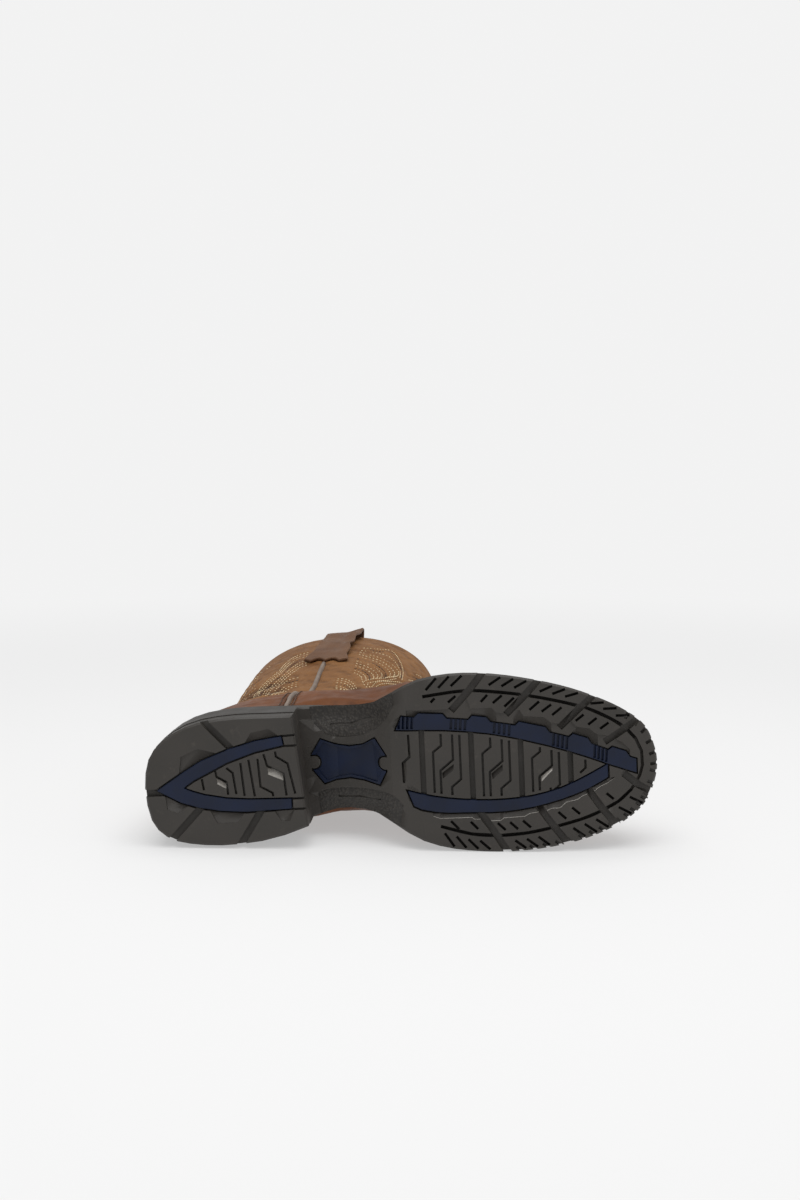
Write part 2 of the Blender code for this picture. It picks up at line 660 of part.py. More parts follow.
def build_outsole(material):
    """Unit sole: forepart, arched waist and heel base under one flat seat."""
    heel, fore = sole_stations()
    even = np.linspace(0.0, 1.0, ACROSS)
    spread = even * EVEN_SPREAD + smooth_step(even) * (1 - EVEN_SPREAD)
    stations = np.concatenate([heel, fore[1:]])
    ledge = LIFT_LEDGE * smooth_step((BREAST + SKEW_REACH - stations) / SKEW_REACH)
    around = np.concatenate([ledge, ledge[-2:0:-1]])
    tuck = FEATHER_TUCK * smooth_step((stations - BREAST) / TUCK_RUN)
    tucked = around - np.concatenate([tuck, tuck[-2:0:-1]])
    top_lateral, top_medial = edge_rows(stations, tucked, skew=False)
    shape = Shape()
    top = []
    for lateral_spot, medial_spot in zip(top_lateral, top_medial):
        first = shape.add(*lateral_spot, feather_height(lateral_spot[0]))
        same = np.allclose(lateral_spot, medial_spot)
        top.append((first, first if same else shape.add(*medial_spot, feather_height(medial_spot[0]))))

    base_height = LIFT_HEIGHT + JOINT_GAP
    wall_edge = edge_rows(stations, around)
    wall_inner = edge_rows(stations, around - TREAD_CHAMFER)
    last_heel = len(heel) - 1
    zones = (
        (range(0, last_heel + 1), flat_height(base_height), 0.0),
        (range(last_heel, len(stations)), tread_height, TREAD_CHAMFER),
    )
    zone_rows = []
    for span, surface, chamfer in zones:
        pick = list(span)
        lateral_ids, medial_ids = [], []
        for index in pick:
            spots = [side[index] for side in wall_edge]
            ids = [shape.add(*spot, surface(*spot) + chamfer) for spot in spots[:1]]
            same = np.allclose(spots[0], spots[1])
            ids.append(ids[0] if same else shape.add(*spots[1], surface(*spots[1]) + chamfer))
            lateral_ids.append(ids[0])
            medial_ids.append(ids[1])
        inner = tuple(side[pick] for side in wall_inner)
        full = underside_rows(shape, (lateral_ids, medial_ids), inner, surface, spread)
        for first, second in zip(full, full[1:]):
            bridge(shape, first, second)
        zone_rows.append((lateral_ids, medial_ids, full))
    (heel_lateral, heel_medial, heel_full), (fore_lateral, fore_medial, fore_full) = zone_rows
    bridge(shape, heel_full[-1], fore_full[0])

    for index in range(len(stations) - 1):
        (a, b), (c, d) = top[index], top[index + 1]
        shape.faces.append(tuple(dict.fromkeys((a, b, d, c))))
        for side, (here, there) in enumerate(((a, c), (b, d))):
            heel_ids = (heel_lateral, heel_medial)[side]
            fore_ids = (fore_lateral, fore_medial)[side]
            if index < last_heel:
                wall = [here, there, heel_ids[index + 1], heel_ids[index]]
                if index == last_heel - 1:
                    wall = [here, there, fore_ids[0], heel_ids[index + 1], heel_ids[index]]
            else:
                wall = [here, there, fore_ids[index + 1 - last_heel], fore_ids[index - last_heel]]
            shape.faces.append(tuple(wall))
    return add_body("outsole", shape.points, shape.faces, material)


def centre_grooves():
    """Transverse grooves of the centre field and the zigzag grooves between them."""
    def reach(station):
        lateral = curve(column(LATERAL_BAND, "station"), column(LATERAL_BAND, "inner"), station)
        medial = curve(column(MEDIAL_BAND, "station"), column(MEDIAL_BAND, "inner"), station)
        return float(lateral), -float(medial)

    across, zigzags = [], list(END_ZIGZAGS)
    for index in range(len(CENTRE_SHIFTS) + 1):
        station = CENTRE_START + index * CENTRE_PITCH
        high, low = reach(station)
        across.append(((station, high), (station, low)))
    for index, shift in enumerate(CENTRE_SHIFTS):
        start = CENTRE_START + index * CENTRE_PITCH
        for line in ZIGZAGS:
            upper, lower = start + line.upper_step, start + line.lower_step
            high = reach(upper)[0] - FIELD_MARGIN
            low = reach(lower)[1] + FIELD_MARGIN
            zigzags.append(((upper, high), (upper, line.upper_knee + shift),
                            (lower, line.lower_knee + shift), (lower, low)))
    return across, zigzags


def edge_notches():
    """Short runs across the tread's medial and toe edge, one behind each lug."""
    paths = []
    turn, last = float(round_station(NOTCH_FIRST)), float(round_station(NOTCH_LAST))
    for angle in np.linspace(turn, last, NOTCH_COUNT):
        station = (1 - math.cos(angle)) / 2
        out = float(outline_width(station, "medial")) / BALL_WIDTH
        inner = (station - NOTCH_LEAN, -out + NOTCH_INNER)
        paths.append((inner, (station + NOTCH_LEAN, -out - NOTCH_OUTER)))
    return paths


def cut_outsole(outsole):
    lateral = band_pairs(LATERAL_BAND, "lateral", TEETH, INSERT_MARGIN)
    medial = band_pairs(MEDIAL_BAND, "medial", (), INSERT_MARGIN)
    channels = [
        channel_body("channel_lateral", lateral, tread_height),
        channel_body("channel_medial", medial, tread_height),
        channel_body("channel_plate", plate_pairs(INSERT_MARGIN), tread_height),
    ]
    cut(channels[2], [plate_notches("channel_notches", PLATE_NOTCH_RADIUS - INSERT_MARGIN)])
    across, zigzags = centre_grooves()
    grooves = [
        groove_cutter("grooves_wide", FOREPART_WIDE, WIDE_GROOVE, tread_height, GROOVE_DEPTH),
        groove_cutter("grooves_across", across, CENTRE_GROOVE, tread_height, GROOVE_DEPTH),
        groove_cutter("grooves_zigzag", zigzags, NARROW_GROOVE, tread_height, SIPE_DEPTH),
        groove_cutter("groove_slit", (SLIT,), SLIT_WIDTH, tread_height, SLIT_DEPTH),
        groove_cutter("grooves_scoop", SCOOP_SLITS, NARROW_GROOVE, tread_height, SCOOP_SLIT_DEPTH),
        groove_cutter("grooves_notch", edge_notches(), NOTCH_WIDTH, tread_height, SIPE_DEPTH),
    ]
    cut(outsole, channels + grooves)


def build_lift(material):
    """Top lift of the heel, down to the ground."""
    heel, _ = sole_stations()
    lateral_row, medial_row = (row[:len(heel)] for row in edge_rows(np.append(heel, 1.0), 0.0))
    loop = np.concatenate([lateral_row, medial_row[:0:-1]])
    inner = grown(loop, -TREAD_CHAMFER)
    shape = Shape()
    levels = ((loop, LIFT_HEIGHT), (loop, TREAD_CHAMFER), (inner, 0.0))
    rings = [[shape.add(*spot, height) for spot in ring] for ring, height in levels]
    for first, second in zip(rings, rings[1:]):
        for index in range(len(loop)):
            after = (index + 1) % len(loop)
            shape.faces.append((first[index], first[after], second[after], second[index]))
    shape.faces += [tuple(rings[0]), tuple(rings[-1])]
    return add_body("heel_lift", shape.points, shape.faces, material)


def cut_lift(lift):
    ground = flat_height(0.0)
    pockets = Shape()
    for corners in HEEL_POCKETS:
        pockets.plate(plan(corners), flat_height(-CUTTER_REACH), flat_height(POCKET_DEPTH))
    cut(lift, [
        channel_body("channel_heel", heel_v_pairs(INSERT_MARGIN), ground),
        groove_cutter("heel_grooves_wide", HEEL_WIDE, WIDE_GROOVE, ground, GROOVE_DEPTH),
        groove_cutter("heel_zigzags", HEEL_ZIGZAGS, NARROW_GROOVE, ground, SIPE_DEPTH),
        groove_cutter("heel_tails", HEEL_TAILS, NARROW_GROOVE, ground, SIPE_DEPTH),
        add_body("heel_pockets", pockets.points, pockets.faces),
    ])


def ring_value(name, row):
    return curve(range(len(RINGS)), column(RINGS, name), row)


def skin_point(row, angle):
    """Point of the upper's outer face: row counts up from the sole, and angle turns from the
    back round the lateral side, over the front and back along the medial side."""
    row, angle = np.broadcast_arrays(np.asarray(row, float), np.asarray(angle, float))
    share = (1 - np.cos(angle)) / 2
    lateral_side = np.sin(angle) >= 0
    sign = np.where(lateral_side, 1.0, -1.0)
    along = SOLE_LENGTH * (ring_value("back", row) * (1 - share) + ring_value("front", row) * share)

    belly = ring_value("belly", row)
    reach = np.where(share < belly, (belly - share) / belly, (share - belly) / (1 - belly))
    egg = np.sqrt(np.clip(1 - reach ** EGG_POWER, 0, 1))
    half = np.where(lateral_side, ring_value("lateral", row), ring_value("medial", row))
    lean = ring_value("back_lean", row) * (1 - share) + ring_value("front_lean", row) * share
    egg_side = BALL_WIDTH * (lean + sign * half * egg)

    sole = np.clip(ring_value("sole", row), 0, 1)
    width = np.where(lateral_side, outline_width(share, "lateral"), outline_width(share, "medial"))
    inset = curve(column(INSETS, "station"), column(INSETS, "inset"), share)
    full = curve(column(INSETS, "station"), column(INSETS, "fullness"), share)
    full = full * np.where(lateral_side, LATERAL_FULLNESS, MEDIAL_FULLNESS) * smooth_step(row)
    ends = np.sin(np.minimum(np.abs(np.sin(angle)) * 2, 1) * math.pi / 2)
    sole_side = sign * (width + BALL_WIDTH * (full - inset) * ends)
    side = (1 - sole) * egg_side + sole * sole_side

    ends_height = (feather_height(0.0) * (1 - share) + feather_height(SOLE_LENGTH) * share)
    base = (1 - sole) * ends_height + sole * feather_height(along)
    rise = ring_value("back_rise", row) * (1 - share) + ring_value("front_rise", row) * share
    dip = RIM_DIP * np.clip(ring_value("dip", row), 0, 1) * np.sin(angle) ** 2
    up = base + rise * SHAFT_RISE + dip + SEAT_GAP
    return np.stack([along, side, up], axis=-1)


def skin_normal(row, angle):
    """Outward direction of the upper's face, level at the sole and at the rim."""
    row, angle = np.broadcast_arrays(np.asarray(row, float), np.asarray(angle, float))
    low, high = np.clip(row - SMALL_ROW, 0, RIM_ROW), np.clip(row + SMALL_ROW, 0, RIM_ROW)
    upward = skin_point(high, angle) - skin_point(low, angle)
    around = skin_point(row, angle + SMALL_ANGLE) - skin_point(row, angle - SMALL_ANGLE)
    normal = np.cross(upward, around)
    level = (row <= 0) | (row >= RIM_ROW)
    normal[..., 2] = np.where(level, 0, normal[..., 2])
    return normal / np.linalg.norm(normal, axis=-1, keepdims=True)


def skin(row, angle, out):
    return skin_point(row, angle) + skin_normal(row, angle) * np.asarray(out)[..., None]


def seam_angle(row):
    return float(np.arccos(1 - 2 * ring_value("seam", row)))


def angle_span(row, distance):
    """Angle that a distance along the skin takes at the side seam."""
    chord = SOLE_LENGTH * float(ring_value("front", row) - ring_value("back", row))
    return distance / (chord / 2 * math.sin(seam_angle(row)))


def column_angle(part, share, row):
    """Angle of a column of the upper, whose columns follow the side seams."""
    seam = seam_angle(row)
    half = angle_span(row, PIPING_WIDTH / 2 + SEAM_CLEARANCE)
    if part == "front":
        start, end = seam + half, 2 * math.pi - seam - half
    else:
        start, end = 2 * math.pi - seam + half, 2 * math.pi + seam - half
    return start + share * (end - start)


def overlay_top(part, share):
    """Row where the foot's overlays end on a column, the same on both sides of the middle."""
    table = VAMP_TOP if part == "front" else COUNTER_TOP
    middle = 1 - abs(2 * share - 1)
    return float(curve(column(table, "share"), column(table, "row"), middle))


def level_row(part, share, level):
    """Row of a level on a column: the levels follow the overlays' top edge."""
    top = overlay_top(part, share)
    if level <= FOOT_LEVELS:
        return top * level / FOOT_LEVELS
    return top + (RIM_ROW - top) * (level - FOOT_LEVELS) / SHAFT_LEVELS


def leather_shell(name, columns, levels, outer, inner, material):
    """Shell between two offsets of the skin; a shell with all the columns closes on itself."""
    shape = Shape()
    runs = []
    for part, share in columns:
        run = []
        for level in range(levels + 1):
            row = level_row(part, share, level)
            angle = column_angle(part, share, row)
            run.append([shape.add(*skin(row, angle, out)) for out in (outer, inner)])
        runs.append(run)
    closed = len(columns) == len(front_columns() + back_columns())
    tops = [overlay_top(*column_spot) for column_spot in columns]
    for index, left in enumerate(runs if closed else runs[:-1]):
        after = (index + 1) % len(runs)
        right = runs[after]
        for (a, b), (c, d), (e, f), (g, h) in zip(left, right, left[1:], right[1:]):
            if tops[after] > tops[index]:
                shape.faces += [(a, c, e), (c, g, e), (b, d, f), (d, h, f)]
            else:
                shape.faces += [(a, c, g), (a, g, e), (b, d, h), (b, h, f)]
        for end in (0, -1):
            (a, b), (c, d) = left[end], right[end]
            shape.faces.append((a, b, d, c))
    if not closed:
        for run in (runs[0], runs[-1]):
            for (a, b), (c, d) in zip(run, run[1:]):
                shape.faces.append((a, b, d, c))
    return add_body(name, shape.points, shape.faces, material)


def front_columns():
    return [("front", share) for share in np.linspace(0, 1, FRONT_COLUMNS + 1)]


def back_columns():
    return [("back", share) for share in np.linspace(0, 1, BACK_COLUMNS + 1)]


def build_upper(material):
    columns = front_columns() + back_columns()
    return leather_shell("upper", columns, FOOT_LEVELS + SHAFT_LEVELS, 0.0, -LEATHER, material)


def build_overlay(name, columns, material):
    return leather_shell(name, columns, FOOT_LEVELS, JOINT_GAP + OVERLAY, JOINT_GAP, material)


def build_piping(side, material):
    """Half-round piping on a side seam, from the sole to under the pull strap."""
    shape = Shape()
    rings = []
    levels = [level_row("front", 0, level) for level in range(FOOT_LEVELS + SHAFT_LEVELS)]
    for row in [row for row in levels if row < PIPING_TOP_ROW] + [PIPING_TOP_ROW]:
        ring = []
        for across, rise in PIPING_PROFILE:
            angle = seam_angle(row) + angle_span(row, across * PIPING_WIDTH)
            angle = angle if side == "lateral" else 2 * math.pi - angle
            out = JOINT_GAP + rise * (PIPING_HEIGHT - JOINT_GAP)
            ring.append(shape.add(*skin(row, angle, out)))
        rings.append(ring)
    for first, second in zip(rings, rings[1:]):
        for index in range(len(PIPING_PROFILE)):
            after = (index + 1) % len(PIPING_PROFILE)
            shape.faces.append((first[index], first[after], second[after], second[index]))
    shape.faces += [tuple(rings[0]), tuple(rings[-1])]
    return add_body("piping_" + side, shape.points, shape.faces, material)


def build_strap(side, material):
    """Pull strap: up the outside of the shaft, over the rim in a loop and down the inside."""
    half = STRAP_THICKNESS / 2
    clear = STRAP_GAP + half
    radius = LEATHER / 2 + clear
    crown = LOOP_HEIGHT - STRAP_THICKNESS / 2 - radius
    stations = [("wall", row, clear) for row in STRAP_OUTSIDE_ROWS]
    stations += [("loop", turn, 0.0) for turn in np.linspace(0, math.pi, LOOP_STEPS + 1)]
    stations += [("wall", row, -LEATHER - clear) for row in STRAP_INSIDE_ROWS]
    shape = Shape()
    layers = []
    for kind, value, offset in stations:
        pair = ([], [])
        for spread in np.linspace(-1, 1, STRAP_COLUMNS + 1):
            row = value if kind == "wall" else RIM_ROW
            if value == STRAP_BOTTOM_ROW and kind == "wall":
                scallop = abs(math.sin(STRAP_SCALLOPS * math.pi * spread))
                row += STRAP_SCALLOP / SHAFT_RISE * RIM_ROW * scallop
            flare = STRAP_FLARE * (RIM_ROW - row) / (RIM_ROW - STRAP_BOTTOM_ROW) * (offset > 0)
            angle = seam_angle(row) + angle_span(row, spread * (STRAP_WIDTH + flare) / 2)
            angle = angle if side == "lateral" else 2 * math.pi - angle
            point, normal = skin_point(row, angle), skin_normal(row, angle)
            up = np.array([0.0, 0.0, 1.0])
            if kind == "wall":
                middle, facing = point + normal * offset, normal * np.sign(offset)
            else:
                facing = normal * math.cos(value) + up * math.sin(value)
                middle = point - normal * LEATHER / 2 + up * crown + facing * radius
            pair[0].append(shape.add(*(middle + facing * half)))
            pair[1].append(shape.add(*(middle - facing * half)))
        layers.append(pair)
    for (a, b), (c, d) in zip(layers, layers[1:]):
        for index in range(STRAP_COLUMNS):
            shape.faces.append((a[index], a[index + 1], c[index + 1], c[index]))
            shape.faces.append((b[index], b[index + 1], d[index + 1], d[index]))
        for edge in (0, -1):
            shape.faces.append((a[edge], b[edge], d[edge], c[edge]))
    for a, b in (layers[0], layers[-1]):
        for index in range(STRAP_COLUMNS):
            shape.faces.append((a[index], a[index + 1], b[index + 1], b[index]))
    return add_body("pull_strap_" + side, shape.points, shape.faces, material)


def build_insole(material):
    """Insole board on the sole, inside the upper's wall."""
    shape = Shape()
    out = -LEATHER - INSOLE_CLEARANCE
    rows = []
    for angle in np.linspace(0, math.pi, INSOLE_STATIONS):
        spots = [skin(0.0, turn, out) for turn in (angle, 2 * math.pi - angle)]
        if angle in (0, math.pi):
            spots = spots[:1]
        rows.append([[shape.add(spot[0], spot[1], feather_height(spot[0]) + height) for spot in spots]
                     for height in (JOINT_GAP, JOINT_GAP + INSOLE_THICKNESS)])
    for (low, high), (next_low, next_high) in zip(rows, rows[1:]):
        shape.faces.append(tuple(dict.fromkeys((low[0], low[-1], next_low[-1], next_low[0]))))
        shape.faces.append(tuple(dict.fromkeys((high[0], high[-1], next_high[-1], next_high[0]))))
        for side in (0, -1):
            shape.faces.append((low[side], next_low[side], next_high[side], high[side]))
    return add_body("insole", shape.points, shape.faces, material)


def build_inserts(material):
    ground = flat_height(0.0)
    insert_body("heel_insert", heel_v_pairs(0.0), ground, material)
    for side, table, teeth in (("lateral", LATERAL_BAND, TEETH), ("medial", MEDIAL_BAND, ())):
        insert_body("forefoot_insert_" + side, band_pairs(table, side, teeth, 0.0), tread_height, material)
    plate = insert_body("shank_plate", plate_pairs(0.0), tread_height, material)
    cut(plate, [plate_notches("plate_notches", PLATE_NOTCH_RADIUS)])


def lay_on_side():
    """Turn the boot onto its medial side, on the three points that carry its weight."""
    bpy.context.view_layer.update()
    depsgraph = bpy.context.evaluated_depsgraph_get()
    turned = Matrix.Rotation(-math.pi / 2, 4, "X")
    hull = bmesh.new()
    volume, moment = 0.0, Vector()
    solids = [body for body in bpy.context.scene.objects if body.type == "MESH" and not body.hide_render]
    for body in solids:
        mesh = body.evaluated_get(depsgraph).to_mesh()
        spots = [turned @ vertex.co for vertex in mesh.vertices]
        mesh.calc_loop_triangles()
        for triangle in mesh.loop_triangles:
            a, b, c = (spots[index] for index in triangle.vertices)
            part = a.dot(b.cross(c)) / 6
            volume += part
            moment += part * (a + b + c) / 4
        for spot in spots:
            hull.verts.new(spot)
    centre = moment / volume
    bmesh.ops.convex_hull(hull, input=hull.verts)
    down = Vector((0, 0, -1))
    support = max(hull.faces, key=lambda face: support_score(face, centre, down))
    turned = outward(support, centre).rotation_difference(down).to_matrix().to_4x4() @ turned
    hull.free()

    meshes = [body.evaluated_get(depsgraph).to_mesh() for body in solids]
    corners = [turned @ vertex.co for mesh in meshes for vertex in mesh.vertices]
    low = Vector(min(corner[axis] for corner in corners) for axis in range(3))
    high = Vector(max(corner[axis] for corner in corners) for axis in range(3))
    shift = Vector((-(low.x + high.x) / 2, -(low.y + high.y) / 2, -low.z))
    root = bpy.data.objects.new("boot", None)
    bpy.context.scene.collection.objects.link(root)
    root.matrix_world = Matrix.Translation(shift) @ turned
    for body in bpy.context.scene.objects:
        if body is not root:
            body.parent = root


def outward(face, centre):
    return face.normal if face.normal.dot(face.calc_center_median() - centre) > 0 else -face.normal


def support_score(face, centre, down):
    """High for a face of the hull that looks down and lies under the centre of mass."""
    normal = outward(face, centre)
    foot = centre + normal * (face.calc_center_median() - centre).dot(normal)
    corners = [vertex.co for vertex in face.verts]
    turns = [(b - a).cross(foot - a).dot(face.normal) for a, b in zip(corners, corners[1:] + corners[:1])]
    inside = all(turn >= 0 for turn in turns) or all(turn <= 0 for turn in turns)
    return normal.dot(down) + (1.0 if inside else 0.0)


def main():
    for leftover in list(bpy.data.objects):
        bpy.data.objects.remove(leftover, do_unlink=True)
    rubber = new_material("rubber", RUBBER)
    navy = new_material("navy_rubber", NAVY)
    foot_leather = new_material("foot_leather", FOOT_LEATHER)
    shaft_leather = new_material("shaft_leather", SHAFT_LEATHER)
    trim = new_material("piping_trim", TRIM)

    cut_outsole(build_outsole(rubber))
    cut_lift(build_lift(rubber))
    build_inserts(navy)
    build_upper(shaft_leather)
    build_overlay("vamp", front_columns(), foot_leather)
    build_overlay("counter", back_columns(), foot_leather)
    for side in ("lateral", "medial"):
        build_piping(side, trim)
        build_strap(side, foot_leather)
    build_insole(new_material("insole_board", BOARD))
    lay_on_side()


main()
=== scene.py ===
"""Looks of the right western work boot that lies on its medial side.

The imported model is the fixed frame. Points of the boot are written as (along, lateral, up) in the
standing boot: along runs from the heel's back to the toe, lateral is positive towards the outer
side, up runs from the tread to the rim. The two tread mounts of the record say where that boot
stands in the row's frame. Lengths are metres; tables hold shares of the named sizes.
"""
import json
import math
from collections import namedtuple

import bmesh
import bpy
import numpy as np
from mathutils import Matrix, Vector, kdtree

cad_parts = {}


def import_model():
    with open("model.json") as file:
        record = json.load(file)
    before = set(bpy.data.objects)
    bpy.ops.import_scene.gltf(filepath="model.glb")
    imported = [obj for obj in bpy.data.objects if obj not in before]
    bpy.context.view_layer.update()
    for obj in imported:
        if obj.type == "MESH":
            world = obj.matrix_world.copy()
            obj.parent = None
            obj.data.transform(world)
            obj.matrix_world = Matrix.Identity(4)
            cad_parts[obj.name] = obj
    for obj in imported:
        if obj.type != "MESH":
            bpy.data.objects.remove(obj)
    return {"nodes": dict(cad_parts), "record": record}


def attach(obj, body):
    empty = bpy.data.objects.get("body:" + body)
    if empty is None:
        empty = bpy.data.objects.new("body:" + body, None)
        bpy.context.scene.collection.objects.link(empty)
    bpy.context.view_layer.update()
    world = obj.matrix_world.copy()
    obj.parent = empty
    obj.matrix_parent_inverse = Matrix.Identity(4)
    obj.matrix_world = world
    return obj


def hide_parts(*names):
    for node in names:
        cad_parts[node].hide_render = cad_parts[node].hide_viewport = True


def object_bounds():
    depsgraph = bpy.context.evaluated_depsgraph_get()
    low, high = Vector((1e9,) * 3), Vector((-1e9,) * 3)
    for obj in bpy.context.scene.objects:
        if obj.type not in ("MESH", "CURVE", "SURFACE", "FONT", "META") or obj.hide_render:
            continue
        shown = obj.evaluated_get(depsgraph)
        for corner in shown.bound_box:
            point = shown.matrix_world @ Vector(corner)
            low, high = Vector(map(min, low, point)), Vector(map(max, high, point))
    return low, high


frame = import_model()
cad_bounds = [list(corner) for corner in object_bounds()]

# Driving sizes, as in the part's source
SOLE_LENGTH = 0.310
BALL_WIDTH = 0.109
SHAFT_RISE = 0.2515
SEAT_HEIGHT = 0.0385
BREAST_HEIGHT = 0.027
FOREPART_THICKNESS = 0.0145
TOE_SPRING = 0.014
RIM_DIP = 0.020
LEATHER = 0.0022
OVERLAY = 0.0013
JOINT_GAP = 0.0003
SEAT_GAP = 0.0005
FLANK_RISE = 0.005
INSERT_RECESS = 0.0005
CUTTER_REACH = 0.006
PIPING_WIDTH = 0.0032
PIPING_HEIGHT = 0.0024
SEAM_CLEARANCE = 0.0006
STRAP_WIDTH = 0.029
STRAP_FLARE = 0.003
STRAP_THICKNESS = 0.002
STRAP_GAP = 0.0008
STRAP_SCALLOP = 0.003
STRAP_SCALLOPS = 1.5
LOOP_HEIGHT = 0.008

# Places of the two tread mounts on the standing boot, as shares of length and ball width
HEEL_MOUNT = (0.045, 0.11)
FOREPART_MOUNT = (0.57, 0.38)

Outline = namedtuple("Outline", "station lateral medial")
OUTLINE = [Outline(*row) for row in (
    (0.000, -0.028, 0.028),
    (0.008, 0.119, 0.198),
    (0.042, 0.239, 0.314),
    (0.097, 0.317, 0.356),
    (0.177, 0.349, 0.363),
    (0.258, 0.349, 0.330),
    (0.316, 0.350, 0.275),
    (0.361, 0.356, 0.234),
    (0.410, 0.361, 0.228),
    (0.452, 0.385, 0.250),
    (0.484, 0.439, 0.294),
    (0.529, 0.509, 0.367),
    (0.577, 0.539, 0.417),
    (0.629, 0.547, 0.443),
    (0.684, 0.536, 0.455),
    (0.755, 0.500, 0.450),
    (0.826, 0.445, 0.424),
    (0.890, 0.371, 0.374),
    (0.942, 0.289, 0.306),
    (0.981, 0.186, 0.200),
    (0.995, 0.086, 0.101),
    (1.000, -0.009, 0.009),
)]

Profile = namedtuple("Profile", "station tread seat flank")
PROFILE = [Profile(*row) for row in (
    (0.00, 1.00, 1.02, 0.0),
    (0.12, 1.00, 1.00, 0.0),
    (0.28, 1.00, 0.97, 0.0),
    (0.335, 0.92, 0.90, 0.8),
    (0.39, 0.78, 0.76, 1.0),
    (0.44, 0.53, 0.53, 0.9),
    (0.49, 0.17, 0.28, 0.2),
    (0.53, 0.00, 0.15, 0.0),
    (0.60, 0.00, 0.03, 0.0),
    (0.68, 0.00, 0.00, 0.0),
    (1.00, 0.00, 0.00, 0.0),
)]
SPRING_START = 0.694
SPRING_LIMIT = 1.2
SPINE_LATERAL = 0.185
SPINE_MEDIAL = 0.100
FLANK_RUN = 0.14
ROW_STEP = 0.05
ANGLE_STEP = 0.02

Ring = namedtuple(
    "Ring", "back back_rise front front_rise lateral medial belly back_lean front_lean sole seam dip")
RINGS = [Ring(*row) for row in (
    (0.0140, 0.000, 0.980, 0.000, 0.440, 0.400, 0.60, 0.00, -0.01, 1.00, 0.262, 0.0),
    (0.0100, 0.036, 0.986, 0.037, 0.440, 0.400, 0.59, 0.00, -0.01, 0.96, 0.264, 0.0),
    (0.0105, 0.076, 0.972, 0.072, 0.430, 0.395, 0.55, 0.00, -0.01, 0.84, 0.268, 0.0),
    (0.0145, 0.115, 0.936, 0.103, 0.415, 0.372, 0.50, 0.00, -0.02, 0.62, 0.275, 0.0),
    (0.0210, 0.155, 0.878, 0.127, 0.395, 0.357, 0.46, 0.00, -0.03, 0.40, 0.290, 0.0),
    (0.0290, 0.199, 0.807, 0.145, 0.380, 0.344, 0.44, 0.00, -0.03, 0.22, 0.312, 0.0),
    (0.0370, 0.246, 0.732, 0.175, 0.354, 0.333, 0.43, 0.00, -0.03, 0.10, 0.342, 0.0),
    (0.0460, 0.294, 0.661, 0.215, 0.332, 0.328, 0.44, 0.00, -0.03, 0.04, 0.380, 0.0),
    (0.0580, 0.342, 0.590, 0.268, 0.306, 0.328, 0.48, 0.01, -0.02, 0.00, 0.428, 0.0),
    (0.0690, 0.390, 0.532, 0.332, 0.300, 0.334, 0.52, 0.02, 0.00, 0.00, 0.480, 0.0),
    (0.0775, 0.445, 0.497, 0.396, 0.306, 0.348, 0.52, 0.03, 0.02, 0.00, 0.520, 0.0),
    (0.0830, 0.509, 0.485, 0.475, 0.322, 0.364, 0.53, 0.04, 0.04, 0.00, 0.535, 0.0),
    (0.0860, 0.588, 0.492, 0.570, 0.348, 0.380, 0.54, 0.06, 0.06, 0.00, 0.535, 0.0),
    (0.0880, 0.690, 0.510, 0.668, 0.372, 0.388, 0.54, 0.08, 0.08, 0.00, 0.528, 0.2),
    (0.0900, 0.800, 0.532, 0.785, 0.384, 0.390, 0.53, 0.10, 0.10, 0.00, 0.521, 0.55),
    (0.0930, 0.920, 0.553, 0.920, 0.382, 0.384, 0.52, 0.12, 0.12, 0.00, 0.516, 1.0),
)]
RIM_ROW = len(RINGS) - 1
EGG_POWER = 2.2

Inset = namedtuple("Inset", "station inset fullness")
INSETS = [Inset(*row) for row in (
    (0.00, 0.034, 0.0),
    (0.12, 0.031, 0.0),
    (0.27, 0.028, 0.3),
    (0.36, 0.030, 0.8),
    (0.43, 0.055, 0.8),
    (0.50, 0.090, 0.3),
    (0.57, 0.072, 0.0),
    (0.65, 0.065, 0.0),
    (1.00, 0.060, 0.0),
)]
LATERAL_FULLNESS = 0.050
MEDIAL_FULLNESS = 0.075

Edge = namedtuple("Edge", "share row")
VAMP_TOP = (Edge(0.0, 7.0), Edge(0.30, 7.1), Edge(0.50, 7.7), Edge(0.66, 9.3), Edge(0.80, 11.4),
            Edge(0.92, 12.4), Edge(1.0, 12.6))
COUNTER_TOP = (Edge(0.0, 7.0), Edge(0.45, 7.15), Edge(0.75, 7.7), Edge(1.0, 8.1))
STRAP_BOTTOM_ROW = 12.35
STRAP_INSIDE_ROW = 13.3
PIPING_TOP_ROW = 12.2

SLIT = (
    (0.549, 0.424), (0.612, 0.445), (0.655, 0.446), (0.719, 0.424), (0.772, 0.395),
    (0.824, 0.357), (0.869, 0.315), (0.911, 0.252), (0.938, 0.197), (0.958, 0.133),
)
SLIT_MEDIAL = (
    (0.574, -0.300), (0.633, -0.348), (0.686, -0.362), (0.740, -0.354), (0.786, -0.333),
    (0.848, -0.293), (0.884, -0.258), (0.920, -0.210), (0.946, -0.150),
)


def curve(stations, values, at):
    """Smooth curve through one column of a table, read at the given stations."""
    stations, values = np.asarray(stations, float), np.asarray(values, float)
    at = np.clip(np.asarray(at, float), stations[0], stations[-1])
    step = np.diff(stations)
    slope = np.diff(values) / step
    inner = (slope[:-1] * step[1:] + slope[1:] * step[:-1]) / (step[:-1] + step[1:])
    tangent = np.concatenate([slope[:1], inner, slope[-1:]])
    cell = np.clip(np.searchsorted(stations, at) - 1, 0, len(step) - 1)
    share = (at - stations[cell]) / step[cell]
    rest = 1 - share
    return (values[cell] * (1 + 2 * share) * rest ** 2
            + values[cell + 1] * (3 - 2 * share) * share ** 2
            + step[cell] * share * rest * (tangent[cell] * rest - tangent[cell + 1] * share))


